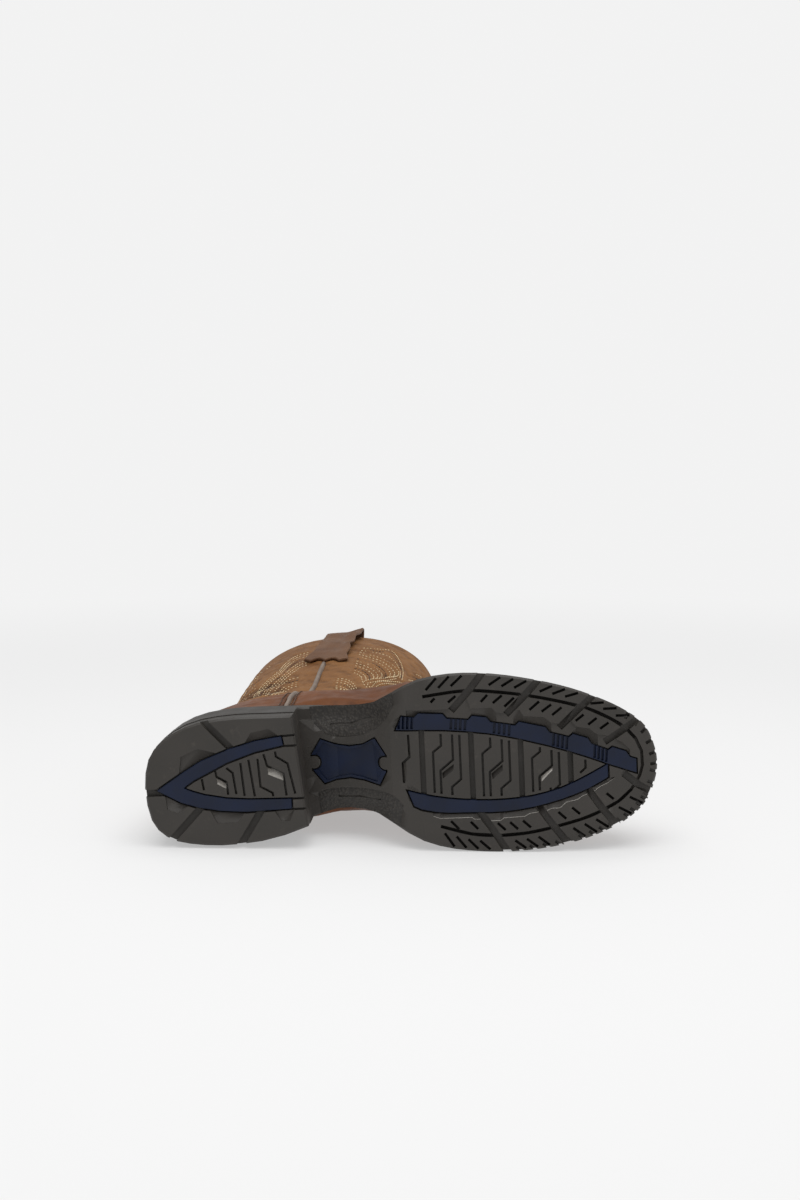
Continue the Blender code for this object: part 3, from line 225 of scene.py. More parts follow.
def column(table, name):
    return [getattr(row, name) for row in table]


def smooth_step(value):
    value = np.clip(value, 0.0, 1.0)
    return value * value * (3 - 2 * value)


def round_station(station):
    return np.arccos(np.clip(1 - 2 * np.asarray(station, float), -1, 1))


def outline_width(station, side):
    turns = round_station(column(OUTLINE, "station"))
    return BALL_WIDTH * curve(turns, column(OUTLINE, side), round_station(station))


def spring(along):
    share = (np.asarray(along) / SOLE_LENGTH - SPRING_START) / (1 - SPRING_START)
    return TOE_SPRING * np.clip(share, 0, SPRING_LIMIT) ** 2


def feather_height(along):
    seat = curve(column(PROFILE, "station"), column(PROFILE, "seat"), np.asarray(along) / SOLE_LENGTH)
    return seat * SEAT_HEIGHT + (1 - seat) * FOREPART_THICKNESS + spring(along)


def tread_height(along, lateral):
    station = np.asarray(along) / SOLE_LENGTH
    stations = column(PROFILE, "station")
    side = np.asarray(lateral) / BALL_WIDTH
    off_spine = np.maximum(side - SPINE_LATERAL, -side - SPINE_MEDIAL) / FLANK_RUN
    flank = np.maximum(curve(stations, column(PROFILE, "flank"), station), 0) * smooth_step(off_spine)
    waist = np.maximum(curve(stations, column(PROFILE, "tread"), station), 0)
    return BREAST_HEIGHT * waist + FLANK_RISE * flank + spring(along)


def ring_value(name, row):
    return curve(range(len(RINGS)), column(RINGS, name), row)


def skin_point(row, angle):
    """Point of the upper's outer face: row counts up from the sole, and angle turns from the
    back round the lateral side, over the front and back along the medial side."""
    row, angle = np.broadcast_arrays(np.asarray(row, float), np.asarray(angle, float))
    share = (1 - np.cos(angle)) / 2
    lateral_side = np.sin(angle) >= 0
    sign = np.where(lateral_side, 1.0, -1.0)
    along = SOLE_LENGTH * (ring_value("back", row) * (1 - share) + ring_value("front", row) * share)

    belly = ring_value("belly", row)
    reach = np.where(share < belly, (belly - share) / belly, (share - belly) / (1 - belly))
    egg = np.sqrt(np.clip(1 - reach ** EGG_POWER, 0, 1))
    half = np.where(lateral_side, ring_value("lateral", row), ring_value("medial", row))
    lean = ring_value("back_lean", row) * (1 - share) + ring_value("front_lean", row) * share
    egg_side = BALL_WIDTH * (lean + sign * half * egg)

    sole = np.clip(ring_value("sole", row), 0, 1)
    width = np.where(lateral_side, outline_width(share, "lateral"), outline_width(share, "medial"))
    inset = curve(column(INSETS, "station"), column(INSETS, "inset"), share)
    full = curve(column(INSETS, "station"), column(INSETS, "fullness"), share)
    full = full * np.where(lateral_side, LATERAL_FULLNESS, MEDIAL_FULLNESS) * smooth_step(row)
    ends = np.sin(np.minimum(np.abs(np.sin(angle)) * 2, 1) * math.pi / 2)
    sole_side = sign * (width + BALL_WIDTH * (full - inset) * ends)
    side = (1 - sole) * egg_side + sole * sole_side

    ends_height = (feather_height(0.0) * (1 - share) + feather_height(SOLE_LENGTH) * share)
    base = (1 - sole) * ends_height + sole * feather_height(along)
    rise = ring_value("back_rise", row) * (1 - share) + ring_value("front_rise", row) * share
    dip = RIM_DIP * np.clip(ring_value("dip", row), 0, 1) * np.sin(angle) ** 2
    up = base + rise * SHAFT_RISE + dip + SEAT_GAP
    return np.stack([along, side, up], axis=-1)


def skin_normal(row, angle):
    """Outward direction of the upper's face, level at the sole and at the rim."""
    row, angle = np.broadcast_arrays(np.asarray(row, float), np.asarray(angle, float))
    low, high = np.clip(row - ROW_STEP, 0, RIM_ROW), np.clip(row + ROW_STEP, 0, RIM_ROW)
    upward = skin_point(high, angle) - skin_point(low, angle)
    around = skin_point(row, angle + ANGLE_STEP) - skin_point(row, angle - ANGLE_STEP)
    normal = np.cross(upward, around)
    level = (row <= 0) | (row >= RIM_ROW)
    normal[..., 2] = np.where(level, 0, normal[..., 2])
    return normal / np.linalg.norm(normal, axis=-1, keepdims=True)


def skin(row, angle, out):
    return skin_point(row, angle) + skin_normal(row, angle) * np.asarray(out)[..., None]


def seam_angle(row):
    return np.arccos(1 - 2 * ring_value("seam", row))


def on_side(angle, side):
    """Angle on the lateral side, or its mirror image on the medial one."""
    return angle if side == "lateral" else 2 * math.pi - angle


def angle_span(row, distance):
    """Angle that a distance along the skin takes at the side seam."""
    chord = SOLE_LENGTH * (ring_value("front", row) - ring_value("back", row))
    return distance / (chord / 2 * np.sin(seam_angle(row)))


def column_angle(part, share, row):
    """Angle of a column of the upper, whose columns follow the side seams."""
    seam = seam_angle(row)
    half = angle_span(row, PIPING_WIDTH / 2 + SEAM_CLEARANCE)
    if part == "front":
        start, end = seam + half, 2 * math.pi - seam - half
    else:
        start, end = 2 * math.pi - seam + half, 2 * math.pi + seam - half
    return start + share * (end - start)


def overlay_top(part, share):
    """Row where the foot's overlays end on a column, the same on both sides of the middle."""
    table = VAMP_TOP if part == "front" else COUNTER_TOP
    middle = 1 - np.abs(2 * np.asarray(share) - 1)
    return curve(column(table, "share"), column(table, "row"), middle)


def standing_boot(record):
    """Origin and directions of the standing boot in the row's frame, from its two tread mounts."""
    mounts = {mount["name"]: mount for mount in record["mounts"]}
    heel, forepart = (np.array(mounts[name]["pos_m"]) for name in ("heel_tread", "forepart_tread"))
    up = -np.array(mounts["heel_tread"]["axis"])
    up /= np.linalg.norm(up)
    run = forepart - heel
    run -= up * (run @ up)
    run /= np.linalg.norm(run)
    turn = math.atan2((FOREPART_MOUNT[1] - HEEL_MOUNT[1]) * BALL_WIDTH,
                      (FOREPART_MOUNT[0] - HEEL_MOUNT[0]) * SOLE_LENGTH)
    across = np.cross(run, up)
    along = run * math.cos(turn) - across * math.sin(turn)
    lateral = run * math.sin(turn) + across * math.cos(turn)
    origin = heel - along * HEEL_MOUNT[0] * SOLE_LENGTH - lateral * HEEL_MOUNT[1] * BALL_WIDTH
    return origin, np.stack([along, lateral, up])


ORIGIN, AXES = standing_boot(frame["record"])


def world(points):
    """Row-frame places of (along, lateral, up) points."""
    return ORIGIN + np.asarray(points, float) @ AXES


def face_outwards(mesh):
    shape = bmesh.new()
    shape.from_mesh(mesh)
    bmesh.ops.recalc_face_normals(shape, faces=shape.faces)
    shape.to_mesh(mesh)
    shape.free()


def link(name, data):
    """Object of some mesh, light or camera data in the scene."""
    body = bpy.data.objects.new(name, data)
    bpy.context.scene.collection.objects.link(body)
    return body


def piece(name, points, faces, materials, replaces=(), picks=None, wear=None):
    """One visible piece of the boot, from points of the standing boot. The shading values are below zero
    where painted shade darkens the colour and above zero where a painted highlight makes it paler."""
    mesh = bpy.data.meshes.new(name)
    mesh.from_pydata(world(points).tolist(), [], faces)
    for material in materials:
        mesh.materials.append(material)
    if picks is not None:
        mesh.polygons.foreach_set("material_index", picks)
    face_outwards(mesh)
    mesh.shade_smooth()
    if wear is not None:
        relief_shading_layer = mesh.attributes.new("wear", "FLOAT", "POINT")
        relief_shading_layer.data.foreach_set("value", np.asarray(wear, np.float32))
    body = link(name, mesh)
    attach(body, "root")
    if replaces:
        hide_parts(*replaces)
    return body


def grid_faces(rows, columns, closed=False):
    """Quads of a grid of points stored row by row."""
    across = columns if closed else columns - 1
    row, step = np.meshgrid(np.arange(rows - 1), np.arange(across), indexing="ij")
    a = row * columns + step
    b = row * columns + (step + 1) % columns
    return np.stack([a, b, b + columns, a + columns], axis=-1).reshape(-1, 4).tolist()


def shell(outer, inner, closed=False):
    """Points and faces of a wall between two grids of points, and how many faces are outside."""
    rows, columns = outer.shape[:2]
    count = rows * columns
    faces = grid_faces(rows, columns, closed)
    outside = len(faces)
    faces += [[index + count for index in face] for face in faces]
    spots = np.arange(count).reshape(rows, columns)
    edges = [spots[0], spots[-1]] if closed else [spots[0], spots[-1], spots[:, 0], spots[:, -1]]
    for edge in edges:
        run = list(edge) + ([edge[0]] if closed else [])
        faces += [[a, b, b + count, a + count] for a, b in zip(run, run[1:])]
    return np.concatenate([outer.reshape(-1, 3), inner.reshape(-1, 3)]), faces, outside


def smooth_path(points, count):
    """Points along a smooth run through a few given ones."""
    points = np.asarray(points, float)
    turns = np.arange(len(points))
    at = np.linspace(0, len(points) - 1, count)
    return np.stack([curve(turns, points[:, axis], at) for axis in range(points.shape[1])], axis=1)


# Creases of the worn leather: side of the boot, share of the way from the side seam to the middle
# and row at both ends and between them, half-width, and how deep it goes; below zero is a ridge
Crease = namedtuple("Crease", "part side start bend end width depth")
CREASES = [Crease(*row) for row in (
    ("front", 1, (0.16, 8.2), (0.36, 8.9), (0.58, 9.2), 0.0052, 0.0014),
    ("front", 1, (0.10, 9.0), (0.34, 9.9), (0.66, 10.3), 0.0060, -0.0011),
    ("front", 1, (0.14, 9.9), (0.40, 10.6), (0.72, 11.2), 0.0058, 0.0013),
    ("front", 1, (0.20, 11.0), (0.45, 11.7), (0.70, 12.1), 0.0062, -0.0009),
    ("front", -1, (0.12, 8.4), (0.36, 9.0), (0.60, 9.3), 0.0055, 0.0015),
    ("front", -1, (0.16, 9.8), (0.42, 10.4), (0.74, 11.0), 0.0060, 0.0013),
    ("front", -1, (0.10, 11.2), (0.40, 11.8), (0.64, 12.0), 0.0066, -0.0010),
    ("back", 1, (0.06, 8.4), (0.34, 8.7), (0.70, 9.4), 0.0048, 0.0016),
    ("back", 1, (0.05, 9.1), (0.36, 9.4), (0.76, 10.2), 0.0052, -0.0012),
    ("back", 1, (0.08, 9.7), (0.40, 10.1), (0.80, 10.9), 0.0050, 0.0015),
    ("back", 1, (0.10, 10.7), (0.46, 11.0), (0.82, 11.8), 0.0058, 0.0010),
    ("back", -1, (0.10, 8.6), (0.46, 9.1), (0.84, 9.6), 0.0054, 0.0016),
    ("back", -1, (0.12, 10.2), (0.50, 10.7), (0.88, 11.4), 0.0056, 0.0013),
    ("front", 1, (0.52, 2.6), (0.66, 4.0), (0.86, 5.2), 0.0050, 0.0008),
    ("front", 1, (0.44, 3.0), (0.58, 4.4), (0.78, 6.0), 0.0060, 0.0009),
    ("front", 1, (0.30, 3.6), (0.42, 5.2), (0.56, 6.6), 0.0070, -0.0008),
    ("front", -1, (0.52, 2.6), (0.66, 4.0), (0.86, 5.2), 0.0050, 0.0008),
    ("front", -1, (0.42, 3.2), (0.56, 4.6), (0.76, 6.2), 0.0060, 0.0009),
    ("front", 1, (0.96, 4.6), (0.98, 5.2), (1.00, 5.6), 0.0045, 0.0007),
    ("front", 1, (0.94, 6.4), (0.97, 7.0), (1.00, 7.3), 0.0060, 0.0012),
    ("front", 1, (0.90, 7.8), (0.95, 8.4), (1.00, 8.8), 0.0060, 0.0014),
    ("front", -1, (0.90, 7.6), (0.95, 8.2), (1.00, 8.6), 0.0060, 0.0012),
    ("back", 1, (0.92, 9.0), (0.96, 9.4), (1.00, 9.6), 0.0050, 0.0013),
    ("back", 1, (0.90, 10.3), (0.96, 10.8), (1.00, 11.0), 0.0055, 0.0012),
)]
CREASE_SPOTS = 60
CREASE_FADE = 0.35
CREASE_END = 0.1
CREASE_REACH = 3


def column_share(middle_share, side):
    """Share across a panel from the share towards its middle, on the lateral or medial half."""
    return middle_share / 2 if side > 0 else 1 - middle_share / 2


def panel_angle(part, side, middle_share, row):
    """Angle of a spot of the upper: the back panel runs the other way round than the front one."""
    half = side if part == "front" else -side
    return column_angle(part, column_share(middle_share, half), row)


def tree_of(spots):
    tree = kdtree.KDTree(len(spots))
    for index, spot in enumerate(spots):
        tree.insert(spot, index)
    tree.balance()
    return tree


def crease_relief(points):
    """How far each point moves out for the creases: gaussian troughs that fade at their ends."""
    flat = points.reshape(-1, 3)
    moved = np.zeros(len(flat))
    for crease in CREASES:
        route = smooth_path((crease.start, crease.bend, crease.end), CREASE_SPOTS)
        angle = panel_angle(crease.part, crease.side, route[:, 0], route[:, 1])
        spots = skin_point(route[:, 1], angle)
        tree = tree_of(spots)
        reach = crease.width * CREASE_REACH
        low, high = spots.min(axis=0) - reach, spots.max(axis=0) + reach
        for index in np.nonzero(((flat > low) & (flat < high)).all(axis=1))[0]:
            _, near, distance = tree.find(flat[index])
            along = near / (CREASE_SPOTS - 1)
            fade = smooth_step(min(along, 1 - along) / CREASE_FADE + CREASE_END)
            moved[index] -= crease.depth * fade * math.exp(-(distance / crease.width) ** 2)
    return moved.reshape(points.shape[:-1])


# Western stitching of the shaft: families of rows from an outer run to an inner one, each spot as
# share of the way from the side seam to the middle and row of the upper
Family = namedtuple("Family", "part count outer inner")
FAMILIES = [Family(*row) for row in (
    ("front", 10,
     ((0.18, 13.45), (0.28, 13.40), (0.38, 13.43), (0.48, 13.38), (0.57, 13.22), (0.59, 12.95),
      (0.56, 12.65)),
     ((0.23, 11.75), (0.26, 11.74), (0.28, 11.68), (0.31, 11.55), (0.32, 11.42), (0.33, 11.28),
      (0.34, 11.15))),
    ("front", 2,
     ((0.59, 12.95), (0.51, 12.30), (0.42, 11.70), (0.36, 11.35), (0.35, 11.10), (0.41, 10.90),
      (0.50, 10.85)),
     ((0.60, 12.78), (0.53, 12.15), (0.44, 11.55), (0.39, 11.28), (0.39, 11.14), (0.43, 11.04),
      (0.50, 11.02))),
    ("front", 5,
     ((0.43, 11.10), (0.46, 11.60), (0.54, 12.10), (0.64, 12.70), (0.76, 13.10)),
     ((0.54, 10.90), (0.56, 11.20), (0.61, 11.60), (0.68, 12.05), (0.76, 12.40))),
    ("front", 3,
     ((0.18, 13.85), (0.29, 14.05), (0.39, 14.30), (0.50, 13.95), (0.60, 13.45), (0.65, 12.95)),
     ((0.18, 13.60), (0.29, 13.68), (0.39, 13.80), (0.50, 13.62), (0.59, 13.25), (0.62, 12.95))),
    ("front", 7,
     ((0.12, 11.00), (0.19, 11.10), (0.25, 10.90), (0.30, 10.50), (0.31, 10.05)),
     ((0.12, 9.80), (0.15, 9.85), (0.18, 9.75), (0.20, 9.60), (0.21, 9.40))),
    ("front", 6,
     ((0.70, 14.00), (0.80, 14.25), (0.90, 13.85), (1.00, 14.20)),
     ((0.68, 12.30), (0.78, 13.10), (0.90, 12.90), (1.00, 13.10))),
    ("front", 5,
     ((0.34, 10.60), (0.44, 10.50), (0.52, 10.10), (0.58, 9.60)),
     ((0.28, 9.30), (0.36, 9.30), (0.43, 9.10), (0.48, 8.80))),
    ("back", 7,
     ((0.15, 13.50), (0.24, 13.45), (0.30, 12.90), (0.32, 12.35), (0.38, 11.80), (0.45, 11.10),
      (0.47, 10.20)),
     ((0.10, 12.30), (0.14, 12.20), (0.18, 11.85), (0.22, 11.40), (0.25, 11.00), (0.30, 10.50),
      (0.33, 9.90))),
    ("back", 5,
     ((0.12, 11.20), (0.20, 11.10), (0.25, 10.60), (0.28, 9.90), (0.30, 9.20)),
     ((0.10, 10.20), (0.14, 10.10), (0.17, 9.80), (0.19, 9.40), (0.20, 9.00))),
    ("back", 9,
     ((0.46, 14.00), (0.58, 13.60), (0.66, 12.80), (0.78, 12.20), (0.90, 12.70), (1.00, 13.40)),
     ((0.50, 10.00), (0.60, 9.80), (0.68, 9.50), (0.78, 9.30), (0.90, 9.40), (1.00, 9.60))),
)]
FAMILY_SPOTS = 160
BROWN_EVERY = 4
OVER_OVERLAY = 0.35
STITCH_PITCH = 0.0027
STITCH_LENGTH = 0.0019
STITCH_HALF_WIDTH = 0.00042
SPOTS_A_METRE = 3000
SHORTEST_RUN = 4


def family_runs(family, side):
    """Stitch rows of one family on one side of the shaft, where the foot's overlays don't cover them."""
    outer, inner = (smooth_path(spots, FAMILY_SPOTS) for spots in (family.outer, family.inner))
    runs = []
    for share in np.linspace(0, 1, family.count):
        spots = outer * (1 - share) + inner * share
        half = side if family.part == "front" else -side
        low = overlay_top(family.part, column_share(spots[:, 0], half)) + OVER_OVERLAY
        for run in split_runs(spots, spots[:, 1] > low):
            runs.append((run[:, 1], panel_angle(family.part, side, run[:, 0], run[:, 1])))
    return runs


def split_runs(spots, wanted):
    """The stretches of a run of spots where wanted is true."""
    runs, current = [], []
    for spot, keep in zip(spots, wanted):
        if keep:
            current.append(spot)
            continue
        runs.append(current)
        current = []
    runs.append(current)
    return [np.array(run) for run in runs if len(run) > SHORTEST_RUN]


def even_places(route, pitch):
    """Length along a route at each of its points, and the lengths of spots at an even pitch."""
    steps = np.linalg.norm(np.diff(route, axis=0), axis=1)
    length = np.concatenate([[0], np.cumsum(steps)])
    count = max(int(length[-1] / pitch), 1)
    return length, (np.arange(count) + 0.5) * length[-1] / count


def even_spots(route, pitch):
    """Route points at an even pitch along it, with the direction at each."""
    length, at = even_places(route, pitch)
    spots = np.stack([np.interp(at, length, route[:, axis]) for axis in range(3)], axis=1)
    ahead = np.stack([np.interp(at + pitch / 4, length, route[:, axis]) for axis in range(3)], axis=1)
    behind = np.stack([np.interp(at - pitch / 4, length, route[:, axis]) for axis in range(3)], axis=1)
    return spots, ahead - behind


def shaft_stitch_routes():
    """Stitch rows of the whole shaft as runs of (row, angle)."""
    return [run for family in FAMILIES for side in (1, -1) for run in family_runs(family, side)]


# Leather pieces
FRONT_COLUMNS = 176
BACK_COLUMNS = 120
HIDDEN_LEVELS = 6
SHAFT_LEVELS = 138
PUCKER = 0.0010
PUCKER_WIDTH = 0.0010
PUCKER_LIMIT = 0.0042
RIPPLE = 0.00030
# Strength of the painted shade in the troughs and painted highlight on the ridges of the creases, puckers,
# ripple, overlays and rolled edge
CREASE_TONE = 0.0010
PUCKER_TONE = 0.8
RIPPLE_TONE = 0.5
OVERLAY_TONE = 0.25
ROLL_TONE = 0.8
RIM_ROUND = 0.0007
ROUND_ROWS = 0.12
FADE_IN_ROWS = 0.5
FADE_OUT_ROWS = 0.35
PUFF = 0.45
OVERLAY_LEVELS = 61
VAMP_COLUMNS = 120
COUNTER_COLUMNS = 64
ROLL_LEVELS = 3
ROLL_START = 0.99
ROLL_COLUMNS = 0.008
THINNEST = 0.04
OVERLAY_RIPPLE = 0.35
HIDDEN_GAP = 0.5


def upper_angles(shares, rows):
    """Angles of a grid of rows over the columns of both panels."""
    front = rows[:, :FRONT_COLUMNS + 1]
    back = rows[:, FRONT_COLUMNS + 1:]
    return np.concatenate([column_angle("front", shares[0], front), column_angle("back", shares[1], back)],
                          axis=1)


def pucker_relief(points, routes):
    """Leather drawn in along the stitch rows and standing up a little between them."""
    runs = [even_spots(skin_point(row, angle), 1 / SPOTS_A_METRE)[0] for row, angle in routes]
    spots = np.concatenate(runs)
    tree = tree_of(spots)
    flat = points.reshape(-1, 3)
    distance = np.array([tree.find(point)[2] for point in flat]).reshape(points.shape[:-1])
    drawn = np.exp(-(distance / PUCKER_WIDTH) ** 2)
    between = smooth_step(1 - distance / PUCKER_LIMIT)
    return PUFF * between - drawn


# Crossed waves of the ripple: size, rates of the first wave, size and rates of its sway, rates of the
# wave across it; rates are along x, y and z
Wave = namedtuple("Wave", "size first sway bend cross")
WAVES = [Wave(*row) for row in (
    (1.0, (170, 0, 410), 3, (0, 90, 0), (0, 300, 120)),
    (0.7, (690, 0, -260), 2, (150, 0, 0), (0, 310, 520)),
)]


def ripple(points):
    """Fine unevenness of worn leather, from a few crossed waves."""
    total = 0
    for wave in WAVES:
        first, bend, cross = (points @ np.array(rates) for rates in (wave.first, wave.bend, wave.cross))
        total = total + wave.size * np.sin(first + wave.sway * np.sin(bend)) * np.sin(cross)
    return RIPPLE * total


def build_shaft(leather, lining, edge, routes):
    """The upper as one closed wall: worked leather outside, plain lining inside."""
    shares = (np.linspace(0, 1, FRONT_COLUMNS + 1), np.linspace(0, 1, BACK_COLUMNS + 1))
    tops = np.concatenate([overlay_top("front", shares[0]), overlay_top("back", shares[1])])
    hidden = np.linspace(0, 1, HIDDEN_LEVELS + 1)[:-1]
    shown = np.linspace(0, 1, SHAFT_LEVELS + 1)
    rows = np.concatenate([tops * hidden[:, None], tops + (RIM_ROW - tops) * shown[:, None]])
    angles = upper_angles(shares, rows)
    plain = skin_point(rows, angles)
    fade_in = smooth_step((rows - tops) / FADE_IN_ROWS)
    fade_out = smooth_step((RIM_ROW - rows) / FADE_OUT_ROWS)
    creases = crease_relief(plain)
    puckers = pucker_relief(plain, routes)
    waves = ripple(plain)
    out = creases + (PUCKER * puckers + waves) * fade_in * fade_out
    rounding = RIM_ROUND * (1 - smooth_step((RIM_ROW - rows) / ROUND_ROWS))
    outer = skin(rows, angles, out - rounding)
    inner = skin(rows, angles, creases - LEATHER + rounding)
    points, faces, outside = shell(outer, inner, closed=True)
    picks = np.ones(len(faces), np.int32)
    picks[:outside] = 0
    picks[-len(tops):] = 2
    # Painted shade in the troughs of the creases, puckers and ripple and a painted highlight on their
    # ridges; the lining gets none
    tone = creases / CREASE_TONE + PUCKER_TONE * puckers + RIPPLE_TONE * waves / RIPPLE
    wear = np.concatenate([tone.ravel(), np.zeros(tone.size)])
    return piece("shaft_and_lining", points, faces, (leather, lining, edge), ("upper",),
                 picks, wear)


def rolled(inwards):
    """Share of the full thickness near a rolled edge, one at a full roll in from it."""
    return np.sqrt(np.clip(1 - (1 - inwards.clip(0, 1)) ** 2, THINNEST, 1))


def build_overlay(name, part, columns, leather, replaced):
    """Foot leather laid over the upper, with a rolled top edge."""
    shares = np.linspace(0, 1, columns + 1)
    tops = overlay_top(part, shares)
    levels = np.concatenate([np.linspace(0, 1, OVERLAY_LEVELS + 1)[:-1],
                             np.linspace(ROLL_START, 1, ROLL_LEVELS + 1)])
    rows = tops * levels[:, None]
    angles = column_angle(part, shares, rows)
    plain = skin_point(rows, angles)
    creases = crease_relief(plain)
    waves = ripple(plain)
    roll = rolled((1 - levels) / (1 - ROLL_START))[:, None]
    roll = roll * rolled(np.minimum(shares, 1 - shares) / ROLL_COLUMNS)
    fullness = (JOINT_GAP + OVERLAY * roll) + creases + OVERLAY_RIPPLE * waves * roll
    outer = skin(rows, angles, fullness)
    inner = skin(rows, angles, creases + JOINT_GAP * HIDDEN_GAP)
    points, faces, _ = shell(outer, inner)
    # Painted shade in the troughs of the creases and ripple and towards the rolled edge, a painted highlight
    # on the ridges; the hidden underside gets painted shade
    tone = creases / CREASE_TONE + OVERLAY_TONE * waves / RIPPLE - ROLL_TONE * (1 - roll)
    wear = np.concatenate([tone.ravel(), np.full(tone.size, -1.0)])
    return piece(name, points, faces, (leather,), (replaced,), None, wear)


STITCH_SIDES = 4
STITCH_SHOULDER = 0.30
STITCH_LIFT = 0.35
STITCH_SINK = 0.4
EDGE_INSETS = (0.16, 0.30)
EDGE_SHARES = (0.02, 0.98)
EDGE_SPOTS = 200
SEAM_DISTANCE = 0.0045
SEAM_ROWS = (0.3, 6.6)
SEAM_SPOTS = 120


def stitch_beads(routes, lift):
    """Points and faces of one bead a stitch, along runs of skin spots and normals."""
    points, faces = [], []
    turns = np.arange(STITCH_SIDES) * 2 * math.pi / STITCH_SIDES + math.pi / 4
    for spots, headings, normals in routes:
        headings = headings / np.linalg.norm(headings, axis=1, keepdims=True)
        across = np.cross(headings, normals)
        across /= np.linalg.norm(across, axis=1, keepdims=True)
        normals = np.cross(across, headings)
        for spot, ahead, side, out in zip(spots, headings, across, normals):
            first = len(points)
            centre = spot + out * lift
            points.append(centre - ahead * STITCH_LENGTH / 2 - out * STITCH_HALF_WIDTH)
            for reach in (-STITCH_SHOULDER, STITCH_SHOULDER):
                for turn in turns:
                    ring = side * math.cos(turn) + out * math.sin(turn)
                    points.append(centre + ahead * reach * STITCH_LENGTH + ring * STITCH_HALF_WIDTH)
            points.append(centre + ahead * STITCH_LENGTH / 2 - out * STITCH_HALF_WIDTH)
            last = first + 1 + 2 * STITCH_SIDES
            for index in range(STITCH_SIDES):
                after = (index + 1) % STITCH_SIDES
                low, high = first + 1 + index, first + 1 + after
                faces.append([first, high, low])
                faces.append([low, high, high + STITCH_SIDES, low + STITCH_SIDES])
                faces.append([last, low + STITCH_SIDES, high + STITCH_SIDES])
    return np.array(points), faces


def skin_run(rows, angles, pitch):
    """Even spots along a run on the skin, with their headings and normals."""
    route = skin_point(rows, angles)
    spots, headings = even_spots(route, pitch)
    length, at = even_places(route, pitch)
    near_rows, near_angles = np.interp(at, length, rows), np.interp(at, length, angles)
    return spots, headings, skin_normal(near_rows, near_angles)


def build_stitches(name, routes, out, thread):
    """Thread beads along (row, angle) runs, standing on the leather at a height over the skin."""
    runs = []
    for rows, angles in routes:
        spots, headings, normals = skin_run(rows, angles, STITCH_PITCH)
        runs.append((spots + normals * (crease_relief(spots) + out)[:, None], headings, normals))
    points, faces = stitch_beads(runs, STITCH_HALF_WIDTH * STITCH_LIFT)
    return piece(name, points, faces, (thread,))


def overlay_edge_routes(part, inset):
    """Runs of stitches just below an overlay's top edge, a distance in from it."""
    shares = np.linspace(*EDGE_SHARES, EDGE_SPOTS)
    tops = overlay_top(part, shares) - inset
    return tops, column_angle(part, shares, tops)


def seam_routes(side, distance, low, high):
    """A run beside a side seam, at a distance towards the toe if positive."""
    rows = np.linspace(low, high, SEAM_SPOTS)
    angle = seam_angle(rows) + angle_span(rows, distance)
    return rows, on_side(angle, side)


PIPING_SIDES = 9
PIPING_LEVELS = 90
PIPING_SINK = 0.3


def build_piping(side, trim):
    """Half-round piping on a side seam."""
    rows = np.linspace(0.0, PIPING_TOP_ROW, PIPING_LEVELS)
    across = np.linspace(-0.5, 0.5, PIPING_SIDES)
    rise = np.sqrt(np.clip(1 - (2 * across) ** 2, 0, 1))
    grid_rows = np.repeat(rows[:, None], PIPING_SIDES, axis=1)
    angles = on_side(seam_angle(grid_rows) + angle_span(grid_rows, across * PIPING_WIDTH), side)
    creases = crease_relief(skin_point(grid_rows, angles))
    outer = skin(grid_rows, angles, creases + JOINT_GAP + rise * (PIPING_HEIGHT - JOINT_GAP))
    inner = skin(grid_rows, angles, creases + JOINT_GAP * PIPING_SINK)
    points, faces, _ = shell(outer, inner)
    return piece("piping_cord_" + side, points, faces, (trim,), ("piping_" + side,))


STRAP_CLEAR = STRAP_GAP + STRAP_THICKNESS / 2
STRAP_COLUMNS = 44
STRAP_LEVELS = (44, 17, 12)
STRAP_STAND_OFF = 0.0034
STRAP_WAVE = 0.0009
LIFT_START = 0.1
LIFT_ROWS = 1.6
SCALLOP_ROWS = 0.5
THIN_START = 0.93
THIN_EDGE = 0.10
CRINKLES = ((1.0, 7, 2), (0.8, -4, 5))

# Shape of the worn strap: share of the way from its lower end to the rim, then how far its back and
# front edges are drawn in, as shares of its half-width
Waist = namedtuple("Waist", "share back front")
STRAP_WAISTS = [Waist(*row) for row in (
    (0.00, 0.02, 0.06), (0.10, 0.00, 0.00), (0.22, 0.10, 0.14), (0.34, 0.20, 0.07),
    (0.48, 0.13, 0.20), (0.60, 0.22, 0.10), (0.74, 0.12, 0.14), (0.88, 0.07, 0.05),
    (1.00, 0.00, 0.02),
)]


def strap_layers():
    """Stations of a strap from its outer end over the loop to its inner end."""
    outside, loop, inside = STRAP_LEVELS
    stations = [("wall", row, STRAP_CLEAR) for row in np.linspace(STRAP_BOTTOM_ROW, RIM_ROW, outside)]
    stations += [("loop", turn, 0.0) for turn in np.linspace(0, math.pi, loop)]
    depth = -LEATHER - STRAP_CLEAR
    stations += [("wall", row, depth) for row in np.linspace(RIM_ROW, STRAP_INSIDE_ROW, inside)]
    return stations


def strap_lift(row, spreads):
    """How far the worn strap stands off the shaft, most at its front edge near the rim."""
    rise = smooth_step((row - STRAP_BOTTOM_ROW - LIFT_START) / LIFT_ROWS)
    crinkle = sum(size * np.sin(up * row + across * spreads) for size, up, across in CRINKLES)
    return np.maximum(rise * (STRAP_STAND_OFF * smooth_step(spreads) + STRAP_WAVE * crinkle), 0)


